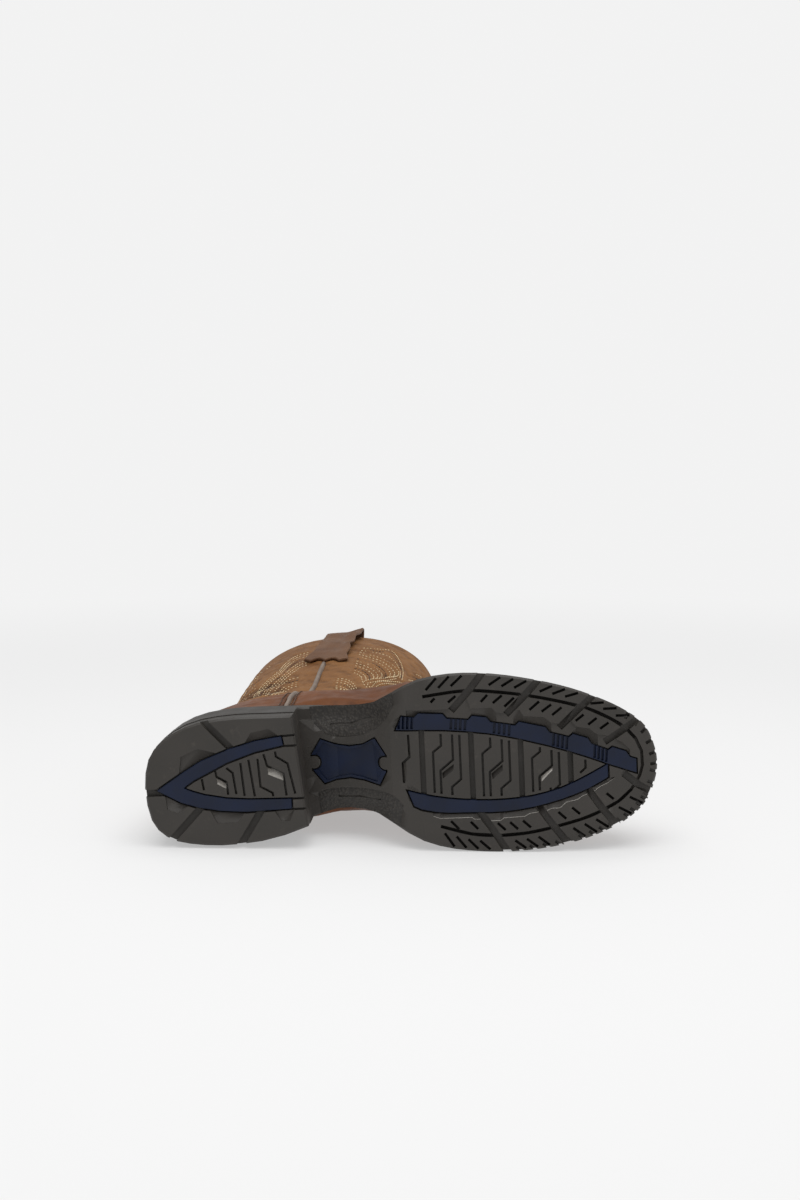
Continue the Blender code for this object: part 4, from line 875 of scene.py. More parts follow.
def build_strap(side, leather):
    """Pull strap with a scalloped end and thinned edges. The lateral one stands off the shaft."""
    radius = LEATHER / 2 + STRAP_CLEAR
    crown = LOOP_HEIGHT - STRAP_THICKNESS / 2 - radius
    even = np.linspace(-1, 1, STRAP_COLUMNS + 1)
    spreads = 0.5 * np.sin(even * math.pi / 2) + 0.5 * even
    edge = ((np.abs(spreads) - THIN_START) / (1 - THIN_START)).clip(0, 1)
    half = STRAP_THICKNESS / 2 * np.sqrt(np.clip(1 - edge ** 2, THIN_EDGE, 1))[:, None]
    lobes = np.abs(np.sin(STRAP_SCALLOPS * math.pi * spreads))
    stand_off = STRAP_STAND_OFF * smooth_step(spreads) * (side == "lateral")
    up = np.array([0.0, 0.0, 1.0])
    faces_out, faces_in = [], []
    for kind, value, offset in strap_layers():
        outside = kind == "wall" and offset > 0
        row = np.full(len(spreads), value if kind == "wall" else float(RIM_ROW))
        if outside:
            near_end = smooth_step(1 - (row - STRAP_BOTTOM_ROW) / SCALLOP_ROWS)
            row = row + near_end * STRAP_SCALLOP / SHAFT_RISE * RIM_ROW * lobes
        share = (RIM_ROW - row) / (RIM_ROW - STRAP_BOTTOM_ROW) * outside
        drawn = [curve(column(STRAP_WAISTS, "share"), column(STRAP_WAISTS, border), 1 - share)
                 for border in ("back", "front")]
        reach = spreads * (1 - np.where(spreads < 0, *drawn) * np.abs(spreads) * outside)
        angle = seam_angle(row) + angle_span(row, reach * (STRAP_WIDTH + STRAP_FLARE * share) / 2)
        angle = on_side(angle, side)
        point, normal = skin_point(row, angle), skin_normal(row, angle)
        if kind == "wall":
            lifted = strap_lift(row, spreads) * (outside and side == "lateral")
            middle = point + normal * (offset + lifted)[:, None]
            facing = normal * np.sign(offset)
        else:
            facing = normal * math.cos(value) + up * math.sin(value)
            middle = point - normal * LEATHER / 2 + up * crown + facing * radius
            middle = middle + normal * (stand_off * (0.5 + 0.5 * math.cos(value)))[:, None]
        faces_out.append(middle + facing * half)
        faces_in.append(middle - facing * half)
    points, faces, _ = shell(np.array(faces_out), np.array(faces_in))
    return piece("pull_strap_leather_" + side, points, faces, (leather,),
                 ("pull_strap_" + side,))


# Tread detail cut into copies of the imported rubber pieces
SIPE_WIDTH = 0.0016
SIPE_DEPTH = 0.0030
SHELF_DEPTH = 0.0013
SLIT_STEPS = 40
SLIT_WIDTH = 0.0020
SLIT_DEPTH = 0.0036
TOE_NOTCH_TURNS = (2.86, 3.62)
TOE_NOTCH_COUNT = 9
TOE_NOTCH_REACH = 0.0045
TOE_NOTCH_LEAN = 0.0012
NOTCH_WIDTH = 0.0020
TURN_STEP = 0.02
TOE_CENTRE = 0.8
RIB_WIDTH = 0.0016
RIB_DEPTH = 0.0018
PLATE_BORDER = 0.0016
BORDER_LIMIT = 2.5
PLATE_RECESS = 0.0010
GROOVE_CLEARANCE = 0.0042
WELD = 0.00001
FLAT_ANGLE = 0.4
SHARP_ANGLE = 14
BEVEL_ANGLE = 30
INSERT_BEVEL = 0.0006

# Outer sipes of the forepart, between the slit and the edge: first and last station, pitch, how far
# the outer end leads the inner one at the first and at the last
Sipes = namedtuple("Sipes", "side first last pitch lead_first lead_last")
OUTER_SIPES = [Sipes(*row) for row in (
    ("lateral", 0.5560, 0.9420, 0.02430, 0.0065, 0.0085),
    ("medial", 0.5810, 0.9500, 0.02260, 0.0055, 0.0080),
)]
SLIT_CLEARANCE = 0.0036
EDGE_CLEARANCE = 0.0016
SIPE_END = 0.99
WIDE_GROOVES = (
    ((0.603, 0.339), (0.635, 0.436), (0.674, 0.569)),
    ((0.708, 0.307), (0.742, 0.399), (0.794, 0.550)),
    ((0.810, 0.220), (0.848, 0.317), (0.906, 0.450)),
    ((0.897, 0.124), (0.935, 0.188), (0.997, 0.303)),
    ((0.648, -0.220), (0.671, -0.312), (0.710, -0.495)),
    ((0.761, -0.193), (0.787, -0.303), (0.832, -0.477)),
    ((0.858, -0.115), (0.887, -0.239), (0.929, -0.394)),
    ((0.932, -0.055), (0.961, -0.128), (1.006, -0.211)),
)

# Short sipes inside the slit: inner end and outer end
SHORT_SIPES = (
    ((0.5645, 0.390), (0.5725, 0.413)), ((0.598, 0.387), (0.613, 0.421)), ((0.661, 0.383), (0.674, 0.421)),
    ((0.684, 0.374), (0.702, 0.415)), ((0.706, 0.352), (0.725, 0.399)), ((0.754, 0.328), (0.773, 0.372)),
    ((0.777, 0.315), (0.796, 0.352)), ((0.797, 0.293), (0.816, 0.333)), ((0.842, 0.253), (0.858, 0.286)),
    ((0.866, 0.228), (0.883, 0.262)), ((0.889, 0.201), (0.906, 0.232)),
    ((0.594, -0.272), (0.609, -0.319)), ((0.632, -0.280), (0.646, -0.322)),
    ((0.684, -0.292), (0.699, -0.333)),
    ((0.708, -0.290), (0.723, -0.331)), ((0.733, -0.284), (0.748, -0.325)),
    ((0.775, -0.262), (0.790, -0.303)),
    ((0.802, -0.246), (0.817, -0.287)), ((0.829, -0.226), (0.844, -0.265)),
    ((0.872, -0.188), (0.886, -0.224)),
    ((0.897, -0.160), (0.911, -0.196)),
)

# Sunk shelf between each long insert and the lugs outside it: its outer border, point by point
SHELVES = {
    "lateral": (
        (0.516, 0.349), (0.600, 0.349), (0.613, 0.376), (0.622, 0.404), (0.634, 0.404), (0.640, 0.349),
        (0.681, 0.349), (0.690, 0.321), (0.713, 0.312), (0.722, 0.330), (0.735, 0.330), (0.742, 0.296),
        (0.781, 0.284), (0.795, 0.250), (0.812, 0.243), (0.822, 0.262), (0.834, 0.250), (0.842, 0.222),
        (0.868, 0.206), (0.884, 0.170), (0.897, 0.165), (0.912, 0.150), (0.930, 0.120), (0.946, 0.075),
    ),
    "medial": (
        (0.560, -0.243), (0.574, -0.257), (0.635, -0.257), (0.640, -0.268), (0.661, -0.268), (0.668, -0.280),
        (0.690, -0.280), (0.697, -0.266), (0.737, -0.262), (0.748, -0.246), (0.780, -0.236), (0.790, -0.225),
        (0.806, -0.225), (0.818, -0.196), (0.840, -0.184), (0.852, -0.164), (0.872, -0.147), (0.884, -0.122),
        (0.900, -0.104), (0.914, -0.078),
    ),
}

Band = namedtuple("Band", "station inner outer")
LATERAL_BAND = [Band(*row) for row in (
    (0.494, 0.239, 0.314), (0.548, 0.241, 0.305), (0.613, 0.229, 0.291),
    (0.681, 0.204, 0.266), (0.748, 0.160, 0.229), (0.806, 0.110, 0.183),
    (0.858, 0.057, 0.134), (0.906, 0.000, 0.075), (0.958, -0.058, 0.018),
)]
MEDIAL_BAND = [Band(*row) for row in (
    (0.512, 0.098, 0.185), (0.568, 0.136, 0.222), (0.632, 0.159, 0.229),
    (0.697, 0.164, 0.231), (0.761, 0.147, 0.209), (0.819, 0.105, 0.170),
    (0.871, 0.041, 0.117), (0.902, -0.002, 0.072),
)]

# Fine ribs across the lateral insert, between its teeth: station of the first, how many, pitch
Ribs = namedtuple("Ribs", "first count pitch")
RIBS = [Ribs(*row) for row in (
    (0.500, 4, 0.0085), (0.601, 4, 0.0090), (0.684, 4, 0.0095), (0.797, 4, 0.0085),
    (0.876, 4, 0.0075),
)]
RIB_START = 0.0045
RIB_OVERRUN = 0.0004
RIB_LEAN = 0.002

Plate = namedtuple("Plate", "lateral_station lateral medial_station medial")
PLATE = [Plate(*row) for row in (
    (0.321, 0.088, 0.323, -0.004), (0.340, 0.171, 0.345, -0.079),
    (0.368, 0.143, 0.368, -0.055), (0.398, 0.132, 0.398, -0.042),
    (0.426, 0.146, 0.426, -0.052), (0.450, 0.183, 0.457, -0.075),
    (0.471, 0.092, 0.471, 0.002),
)]

# Sloped pockets of the centre field and the heel: corners from the lateral edge to the medial one,
# then how deep they are at the lateral edge and at the medial one, and whether they are lit and so get the
# painted highlight
Ramp = namedtuple("Ramp", "corners deep shallow lit")
RAMPS = [Ramp(*row) for row in (
    (((0.143, 0.012), (0.161, -0.019), (0.161, -0.048), (0.143, -0.018)), 0.0030, 0.0004, True),
    (((0.243, 0.064), (0.273, 0.022), (0.273, -0.012), (0.243, 0.026)), 0.0030, 0.0004, True),
    (((0.581, -0.002), (0.604, 0.045), (0.603, 0.013), (0.582, -0.034)), 0.0028, 0.0012, False),
    (((0.676, -0.015), (0.698, 0.034), (0.698, 0.001), (0.678, -0.048)), 0.0028, 0.0012, False),
    (((0.771, -0.045), (0.794, 0.004), (0.793, -0.027), (0.773, -0.078)), 0.0028, 0.0004, True),
    (((0.848, -0.022), (0.858, 0.007), (0.860, -0.016), (0.850, -0.042)), 0.0026, 0.0004, True),
)]
HEEL_STATION_LIMIT = 0.31

# Shallow pebbled scoops of the waist: the inner rim and the outer border at even steps along them
SCOOP_DEPTH = 0.0011
SCOOP_ROWS = 24
SCOOP_COLUMNS = 16
SCOOPS = {
    "lateral": (
        ((0.322, 0.275), (0.352, 0.200), (0.387, 0.186), (0.435, 0.208), (0.468, 0.272), (0.492, 0.375)),
        ((0.318, 0.420), (0.352, 0.440), (0.387, 0.450), (0.428, 0.470), (0.462, 0.490), (0.488, 0.520)),
    ),
    "medial": (
        ((0.330, -0.135), (0.352, -0.112), (0.400, -0.101), (0.450, -0.106), (0.484, -0.130),
         (0.503, -0.180)),
        ((0.334, -0.330), (0.356, -0.330), (0.400, -0.330), (0.440, -0.335), (0.474, -0.345),
         (0.490, -0.355)),
    ),
}


def plan(points):
    return np.array([(station * SOLE_LENGTH, lateral * BALL_WIDTH) for station, lateral in points])


def path_pairs(points, width):
    """Left and right points along a run of plan points, at mitred corners."""
    points = np.asarray(points, float)
    steps = np.diff(points, axis=0)
    steps /= np.linalg.norm(steps, axis=1, keepdims=True)
    sides = np.stack([-steps[:, 1], steps[:, 0]], axis=1)
    mean = np.concatenate([sides[:1], sides[:-1] + sides[1:], sides[-1:]])
    mean /= np.linalg.norm(mean, axis=1, keepdims=True)
    square = np.concatenate([sides[:1], sides])
    mitre = np.clip(np.sum(mean * square, axis=1, keepdims=True), 0.5, 1)
    offset = mean / mitre * width / 2
    return list(zip(points - offset, points + offset))


def ground(along, lateral):
    return 0.0 * np.asarray(along)


class Cutter:
    """A closed body of several strips and plates, to cut from a rubber piece."""

    def __init__(self):
        self.points = []
        self.faces = []
        self.lit = set()

    def add(self, along, lateral, up):
        self.points.append((float(along), float(lateral), float(up)))
        return len(self.points) - 1

    def strip(self, pairs, surface, depth, lit=False):
        """Channel between pairs of points; its right wall has the second finish, the painted highlight, when
        lit.
        """
        rings = []
        for left, right in pairs:
            corners = ((spot, rise) for rise in (-CUTTER_REACH, depth) for spot in (left, right))
            rings.append([self.add(*spot, surface(*spot) + rise) for spot, rise in corners])
        for (a, b, c, d), (e, f, g, h) in zip(rings, rings[1:]):
            self.faces += [(a, b, f, e), (c, g, h, d), (a, e, g, c), (b, d, h, f)]
            if lit:
                self.lit.add(len(self.faces) - 1)
        for a, b, c, d in (rings[0], rings[-1]):
            self.faces.append((a, c, d, b))

    def plate(self, corners, surface, depths, lit=False):
        first = len(self.faces)
        under = [self.add(*spot, surface(*spot) - CUTTER_REACH) for spot in corners]
        over = [self.add(*spot, surface(*spot) + depth) for spot, depth in zip(corners, depths)]
        self.faces += [tuple(under), tuple(over)]
        for index in range(len(corners)):
            after = (index + 1) % len(corners)
            self.faces.append((under[index], under[after], over[after], over[index]))
        # All faces of a lit plate get the second finish, the painted highlight
        if lit:
            self.lit.update(range(first, len(self.faces)))

    def sheet(self, grid, surface, depth):
        """Body under a grid of plan points, which follows a curved surface at a depth."""
        rows, columns = grid.shape[:2]
        first = len(self.points)
        for rise in (-CUTTER_REACH, depth):
            for spot in grid.reshape(-1, 2):
                self.add(*spot, surface(*spot) + rise)
        count = rows * columns
        spots = first + np.arange(count).reshape(rows, columns)
        lower = [[first + index for index in face] for face in grid_faces(rows, columns)]
        self.faces += lower + [[index + count for index in face] for face in lower]
        for edge in (spots[0], spots[-1], spots[:, 0], spots[:, -1]):
            self.faces += [[a, b, b + count, a + count] for a, b in zip(edge, edge[1:])]

    def body(self, name, *materials):
        mesh = bpy.data.meshes.new(name)
        mesh.from_pydata(world(self.points).tolist(), [], self.faces)
        for material in materials:
            mesh.materials.append(material)
        # Lit faces take the second material, which is the painted highlight
        for index in self.lit:
            mesh.polygons[index].material_index = 1
        face_outwards(mesh)
        return link(name, mesh)


def carved(name, node, cutters, material, bevel=None):
    """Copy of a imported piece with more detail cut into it, which then stands for it. Faces left by
    a cutter that has a finish keep that finish."""
    mesh = frame["nodes"][node].data.copy()
    shape = bmesh.new()
    shape.from_mesh(mesh)
    bmesh.ops.remove_doubles(shape, verts=shape.verts, dist=WELD)
    bmesh.ops.dissolve_limit(shape, angle_limit=math.radians(FLAT_ANGLE),
                             verts=shape.verts, edges=shape.edges)
    shape.to_mesh(mesh)
    shape.free()
    mesh.materials.clear()
    mesh.materials.append(material)
    body = link(name, mesh)
    for cutter in cutters:
        modifier = body.modifiers.new(cutter.name, "BOOLEAN")
        modifier.operation = "DIFFERENCE"
        modifier.solver = "EXACT"
        modifier.material_mode = "TRANSFER" if cutter.data.materials else "INDEX"
        modifier.object = cutter
    if bevel:
        modifier = body.modifiers.new("worn_edges", "BEVEL")
        modifier.width = bevel
        modifier.segments = 2
        modifier.limit_method = "ANGLE"
        modifier.angle_limit = math.radians(BEVEL_ANGLE)
    bpy.context.view_layer.update()
    depsgraph = bpy.context.evaluated_depsgraph_get()
    result = bpy.data.meshes.new_from_object(body.evaluated_get(depsgraph))
    body.modifiers.clear()
    body.data = result
    for cutter in cutters:
        bpy.data.objects.remove(cutter, do_unlink=True)
    result.shade_smooth()
    result.set_sharp_from_angle(angle=math.radians(SHARP_ANGLE))
    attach(body, "root")
    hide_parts(node)
    return body


def slit_lateral(station, side):
    table = SLIT if side == "lateral" else SLIT_MEDIAL
    return float(curve([spot[0] for spot in table], [spot[1] for spot in table], station)) * BALL_WIDTH


def near_groove(spot):
    """Whether a plan point lies within the clearance of a wide groove."""
    for groove in WIDE_GROOVES:
        route = plan(groove)
        for start, end in zip(route, route[1:]):
            run = end - start
            share = np.clip((spot - start) @ run / (run @ run), 0, 1)
            if np.linalg.norm(spot - start - share * run) < GROOVE_CLEARANCE:
                return True
    return False


def outer_sipes():
    """Runs across the outer lugs, from near the slit to near the edge."""
    runs = []
    for row in OUTER_SIPES:
        sign = 1 if row.side == "lateral" else -1
        for station in np.arange(row.first, row.last, row.pitch):
            share = (station - row.first) / (row.last - row.first)
            lead = row.lead_first + (row.lead_last - row.lead_first) * share
            along = station * SOLE_LENGTH
            inner = np.array([along, slit_lateral(station, row.side) + sign * SLIT_CLEARANCE])
            out_station = min((along + lead) / SOLE_LENGTH, SIPE_END)
            edge = float(outline_width(out_station, row.side)) - EDGE_CLEARANCE
            outer = np.array([along + lead, sign * edge])
            if not near_groove((inner + outer) / 2):
                runs.append((inner, outer))
    return runs


def toe_notches():
    """Notches across the edge from one side of the toe round its tip to the other."""
    runs = []
    for turn in np.linspace(*TOE_NOTCH_TURNS, TOE_NOTCH_COUNT):
        sign = 1 if turn > math.pi else -1
        spots = []
        for nearby in (turn - TURN_STEP, turn, turn + TURN_STEP):
            edge, way = ("lateral", 1) if nearby > math.pi else ("medial", -1)
            station = (1 - math.cos(nearby)) / 2
            spots.append(np.array([station * SOLE_LENGTH, way * float(outline_width(station, edge))]))
        heading = spots[2] - spots[0]
        outward = np.array([heading[1], -heading[0]]) / np.linalg.norm(heading)
        outward *= np.sign(outward @ (spots[1] - np.array([TOE_CENTRE * SOLE_LENGTH, 0.0])))
        lean = heading / np.linalg.norm(heading) * TOE_NOTCH_LEAN * sign
        runs.append((spots[1] - outward * TOE_NOTCH_REACH - lean, spots[1] + outward * TOE_NOTCH_REACH))
    return runs


def band_edge(side, name, station):
    table = LATERAL_BAND if side == "lateral" else MEDIAL_BAND
    value = float(curve(column(table, "station"), column(table, name), station)) * BALL_WIDTH
    return value if side == "lateral" else -value


def shelf_cutter(side, rubber, painted_highlight):
    cutter = Cutter()
    pairs = []
    for station, lateral in SHELVES[side]:
        inside = band_edge(side, "outer", station)
        pairs.append((np.array([station * SOLE_LENGTH, inside]),
                      np.array([station * SOLE_LENGTH, lateral * BALL_WIDTH])))
    # The medial shelf's outer wall gets the painted highlight
    cutter.strip(pairs, tread_height, SHELF_DEPTH, lit=side == "medial")
    return cutter.body("shelf_cutter_" + side, rubber, painted_highlight)


def scoop_cutter(side, pebbled):
    cutter = Cutter()
    rim, border = (smooth_path(plan(points), SCOOP_ROWS) for points in SCOOPS[side])
    across = np.linspace(0, 1, SCOOP_COLUMNS)[None, :, None]
    cutter.sheet(rim[:, None] * (1 - across) + border[:, None] * across, tread_height, SCOOP_DEPTH)
    return cutter.body("scoop_cutter_" + side, pebbled)


def build_tread(rubber, pebbled, painted_groove_shade, painted_highlight):
    """Forepart and heel with sipes, sunk shelves, pebbled scoops and sloped pockets. The slit and the sipes
    are lined with painted groove shade; the medial shelf's wall and four sloped pockets get a painted
    highlight.
    """
    slits, notches, sipes = Cutter(), Cutter(), Cutter()
    for route in (SLIT, SLIT_MEDIAL):
        slits.strip(path_pairs(smooth_path(plan(route), SLIT_STEPS), SLIT_WIDTH), tread_height, SLIT_DEPTH)
    for run in toe_notches():
        notches.strip(path_pairs(run, NOTCH_WIDTH), tread_height, SIPE_DEPTH)
    for inner, outer in outer_sipes():
        sipes.strip(path_pairs((inner, outer), SIPE_WIDTH), tread_height, SIPE_DEPTH)
    for run in SHORT_SIPES:
        sipes.strip(path_pairs(plan(run), SIPE_WIDTH), tread_height, SIPE_DEPTH)
    ramps = {"outsole": Cutter(), "heel_lift": Cutter()}
    for ramp in RAMPS:
        node = "heel_lift" if ramp.corners[0][0] < HEEL_STATION_LIMIT else "outsole"
        depths = (ramp.deep, ramp.deep, ramp.shallow, ramp.shallow)
        ramps[node].plate(plan(ramp.corners), ground, depths, ramp.lit)
    sides = ("lateral", "medial")
    # The slit and sipe cutters leave their walls in the painted groove shade
    cutters = [slits.body("slit_cutter", painted_groove_shade), notches.body("notch_cutter"),
               sipes.body("sipe_cutter", painted_groove_shade)]
    cutters += [shelf_cutter(side, rubber, painted_highlight) for side in sides]
    cutters += [scoop_cutter(side, pebbled) for side in sides]
    cutters.append(ramps["outsole"].body("ramp_cutter", rubber, painted_highlight))
    carved("outsole_tread", "outsole", cutters, rubber)
    heel_cutter = ramps["heel_lift"].body("heel_ramp_cutter", rubber, painted_highlight)
    carved("heel_lift_tread", "heel_lift", [heel_cutter], rubber)


def build_inserts(navy):
    """Long lateral insert with ribs between its teeth, and the waist plate with a raised border."""
    ribs = Cutter()
    for group in RIBS:
        for index in range(group.count):
            station = group.first + index * group.pitch
            inner = band_edge("lateral", "inner", station) + RIB_START * BALL_WIDTH
            outer = band_edge("lateral", "outer", station) + RIB_OVERRUN
            run = plan(((station, inner / BALL_WIDTH), (station + RIB_LEAN, outer / BALL_WIDTH)))
            ribs.strip(path_pairs(run, RIB_WIDTH), tread_height, INSERT_RECESS + RIB_DEPTH)
    carved("insert_lateral_ribbed", "forefoot_insert_lateral", [ribs.body("rib_cutter")], navy,
           INSERT_BEVEL)
    carved("insert_medial_bevelled", "forefoot_insert_medial", [], navy, INSERT_BEVEL)
    carved("heel_insert_bevelled", "heel_insert", [], navy, INSERT_BEVEL)

    recess = Cutter()
    lateral = plan([(row.lateral_station, row.lateral) for row in PLATE])
    medial = plan([(row.medial_station, row.medial) for row in PLATE])
    centre = (lateral.mean(axis=0) + medial.mean(axis=0)) / 2
    pairs = [(shrunk(a, centre), shrunk(b, centre)) for a, b in zip(lateral, medial)]
    recess.strip(pairs, tread_height, INSERT_RECESS + PLATE_RECESS)
    carved("plate_bordered", "shank_plate", [recess.body("plate_cutter")], navy)


def shrunk(spot, centre):
    """Plate point moved in by about the width of the border."""
    away = spot - centre
    length = np.abs(away)
    return centre + away * (1 - PLATE_BORDER / np.maximum(length, PLATE_BORDER * BORDER_LIMIT))


class Nodes:
    """Short way to build a shader's node tree."""

    def __init__(self, name):
        self.material = bpy.data.materials.new(name)
        self.material.use_nodes = True
        self.tree = self.material.node_tree
        self.shader = self.tree.nodes["Principled BSDF"]
        self.places = self.node("ShaderNodeTexCoord").outputs["Object"]

    def node(self, kind, **settings):
        node = self.tree.nodes.new(kind)
        for name, value in settings.items():
            setattr(node, name, value)
        return node

    def link(self, output, socket):
        self.tree.links.new(output, socket)

    def noise(self, scale, detail=4.0, roughness=0.55, distortion=0.0):
        node = self.node("ShaderNodeTexNoise")
        node.inputs["Scale"].default_value = scale
        node.inputs["Detail"].default_value = detail
        node.inputs["Roughness"].default_value = roughness
        node.inputs["Distortion"].default_value = distortion
        self.link(self.places, node.inputs["Vector"])
        return node.outputs["Fac"]

    def cells(self, scale):
        node = self.node("ShaderNodeTexVoronoi")
        node.inputs["Scale"].default_value = scale
        self.link(self.places, node.inputs["Vector"])
        return node.outputs["Distance"]

    def ramp(self, value, low, high, to_low=0.0, to_high=1.0):
        node = self.node("ShaderNodeMapRange")
        limits = (("From Min", low), ("From Max", high), ("To Min", to_low), ("To Max", to_high))
        for socket, number in limits:
            node.inputs[socket].default_value = number
        self.link(value, node.inputs["Value"])
        return node.outputs["Result"]

    def maths(self, operation, first, second):
        node = self.node("ShaderNodeMath", operation=operation)
        for socket, value in zip(node.inputs, (first, second)):
            if isinstance(value, (int, float)):
                socket.default_value = value
            else:
                self.link(value, socket)
        return node.outputs["Value"]

    def mix(self, share, first, second):
        node = self.node("ShaderNodeMix", data_type="RGBA")
        self.link(share, node.inputs["Factor"])
        for socket, colour in ((node.inputs["A"], first), (node.inputs["B"], second)):
            if isinstance(colour, tuple):
                socket.default_value = (*colour, 1)
            else:
                self.link(colour, socket)
        return node.outputs["Result"]

    def bump(self, height, distance, strength, normal=None):
        node = self.node("ShaderNodeBump")
        node.inputs["Distance"].default_value = distance
        node.inputs["Strength"].default_value = strength
        self.link(height, node.inputs["Height"])
        if normal:
            self.link(normal, node.inputs["Normal"])
        return node.outputs["Normal"]

    def finish(self, colour, roughness, normal=None, specular=0.5, coat=0.0, coat_roughness=0.3, sheen=0.0):
        self.link(colour, self.shader.inputs["Base Color"])
        self.link(roughness, self.shader.inputs["Roughness"])
        if normal:
            self.link(normal, self.shader.inputs["Normal"])
        self.shader.inputs["Specular IOR Level"].default_value = specular
        self.shader.inputs["Coat Weight"].default_value = coat
        self.shader.inputs["Coat Roughness"].default_value = coat_roughness
        self.shader.inputs["Sheen Weight"].default_value = sheen
        return self.material


def linear(red, green, blue):
    """Linear colour from display values of 0 to 255."""
    return tuple(((value / 255 + 0.055) / 1.055) ** 2.4 if value > 10 else value / 255 / 12.92
                 for value in (red, green, blue))


def rubber_material():
    made = Nodes("moulded_rubber")
    cloudy = made.noise(45, 5.0, 0.6)
    colour = made.mix(made.ramp(cloudy, 0.3, 0.7), linear(48, 45, 41), linear(57, 53, 49))
    dust = made.ramp(made.noise(160, 6.0, 0.65), 0.60, 0.78)
    colour = made.mix(made.maths("MULTIPLY", dust, 0.35), colour, linear(88, 82, 74))
    roughness = made.ramp(made.noise(90, 3.0), 0.3, 0.7, 0.46, 0.62)
    normal = made.bump(made.noise(2600, 2.0), 0.00008, 0.35)
    normal = made.bump(made.noise(420, 3.0), 0.00020, 0.30, normal)
    return made.finish(colour, roughness, normal, specular=0.42)


def pebbled_rubber_material():
    made = Nodes("pebbled_rubber")
    pebbles = made.cells(620)
    # Colour darkens from each pebble's middle towards the gaps, following the same cells as the bump:
    # painted shade between the pebbles
    colour = made.mix(made.ramp(pebbles, 0.1, 0.7), linear(57, 53, 48), linear(38, 35, 32))
    roughness = made.ramp(made.noise(90, 3.0), 0.3, 0.7, 0.45, 0.60)
    raised = made.ramp(pebbles, 0.05, 0.75, 1.0, 0.0)
    return made.finish(colour, roughness, made.bump(raised, 0.00035, 0.6), specular=0.4)


def navy_material():
    made = Nodes("navy_rubber_finish")
    cloudy = made.noise(60, 4.0)
    colour = made.mix(made.ramp(cloudy, 0.3, 0.7), linear(6, 16, 37), linear(10, 24, 51))
    dust = made.ramp(made.noise(240, 6.0, 0.7), 0.62, 0.80)
    colour = made.mix(made.maths("MULTIPLY", dust, 0.30), colour, linear(30, 38, 58))
    roughness = made.ramp(made.noise(120, 3.0), 0.3, 0.7, 0.36, 0.50)
    normal = made.bump(made.noise(2400, 2.0), 0.00006, 0.30)
    return made.finish(colour, roughness, normal, specular=0.3)


# Colours of each leather: shade is the painted shade of the relief's troughs, dark the pull-up patches and
# mottle, middle and light the broad tone and scratches; light is also the painted highlight of the ridges
Leather = namedtuple("Leather", "shade dark middle light rough grain")
LEATHERS = {
    "foot_leather_finish": Leather((36, 18, 9), (66, 34, 11), (90, 48, 17), (114, 66, 28), 0.46, 0.22),
    "shaft_leather_finish": Leather((50, 30, 16), (84, 54, 28), (114, 76, 42), (140, 100, 62), 0.56, 0.45),
    "strap_leather_finish": Leather((40, 26, 17), (72, 48, 32), (96, 67, 47), (118, 88, 66), 0.55, 0.50),
    "cut_edge_finish": Leather((40, 27, 20), (56, 38, 28), (70, 48, 36), (88, 62, 48), 0.60, 0.30),
}


def leather_material(name):
    """Oiled leather: pull-up patches, fine creases and pores, with painted shade in the troughs of the
    relief and a painted highlight on its ridges.
    """
    made, row = Nodes(name), LEATHERS[name]
    shade, dark, middle, light = (linear(*tone) for tone in row[:4])
    broad = made.noise(22, 4.0, 0.6, 0.4)
    colour = made.mix(made.ramp(broad, 0.32, 0.68), middle, light)
    patches = made.ramp(made.noise(75, 6.0, 0.65, 0.8), 0.52, 0.74)
    colour = made.mix(made.maths("MULTIPLY", patches, 0.55), colour, dark)
    fine = made.ramp(made.noise(700, 5.0, 0.7), 0.35, 0.75)
    colour = made.mix(made.maths("MULTIPLY", fine, 0.22), colour, dark)
    scratch = made.ramp(made.noise(310, 8.0, 0.8, 2.5), 0.66, 0.78)
    colour = made.mix(made.maths("MULTIPLY", scratch, 0.25), colour, light)
    # The piece's shading values paint a highlight on the relief's ridges and shade in its troughs
    wear = made.node("ShaderNodeAttribute", attribute_name="wear").outputs["Fac"]
    colour = made.mix(made.ramp(wear, 0.1, 1.2, 0.0, 0.55), colour, light)
    colour = made.mix(made.ramp(wear, -0.1, -1.4, 0.0, 0.75), colour, shade)
    roughness = made.ramp(made.noise(130, 4.0), 0.3, 0.7, row.rough - 0.08, row.rough + 0.10)
    normal = made.bump(made.cells(1500), 0.00010, row.grain)
    normal = made.bump(made.noise(520, 6.0, 0.7, 0.6), 0.00030, row.grain * 1.2, normal)
    normal = made.bump(made.noise(120, 4.0, 0.6, 1.0), 0.00070, row.grain * 0.8, normal)
    return made.finish(colour, roughness, normal, specular=0.18, coat=0.02, coat_roughness=0.45)


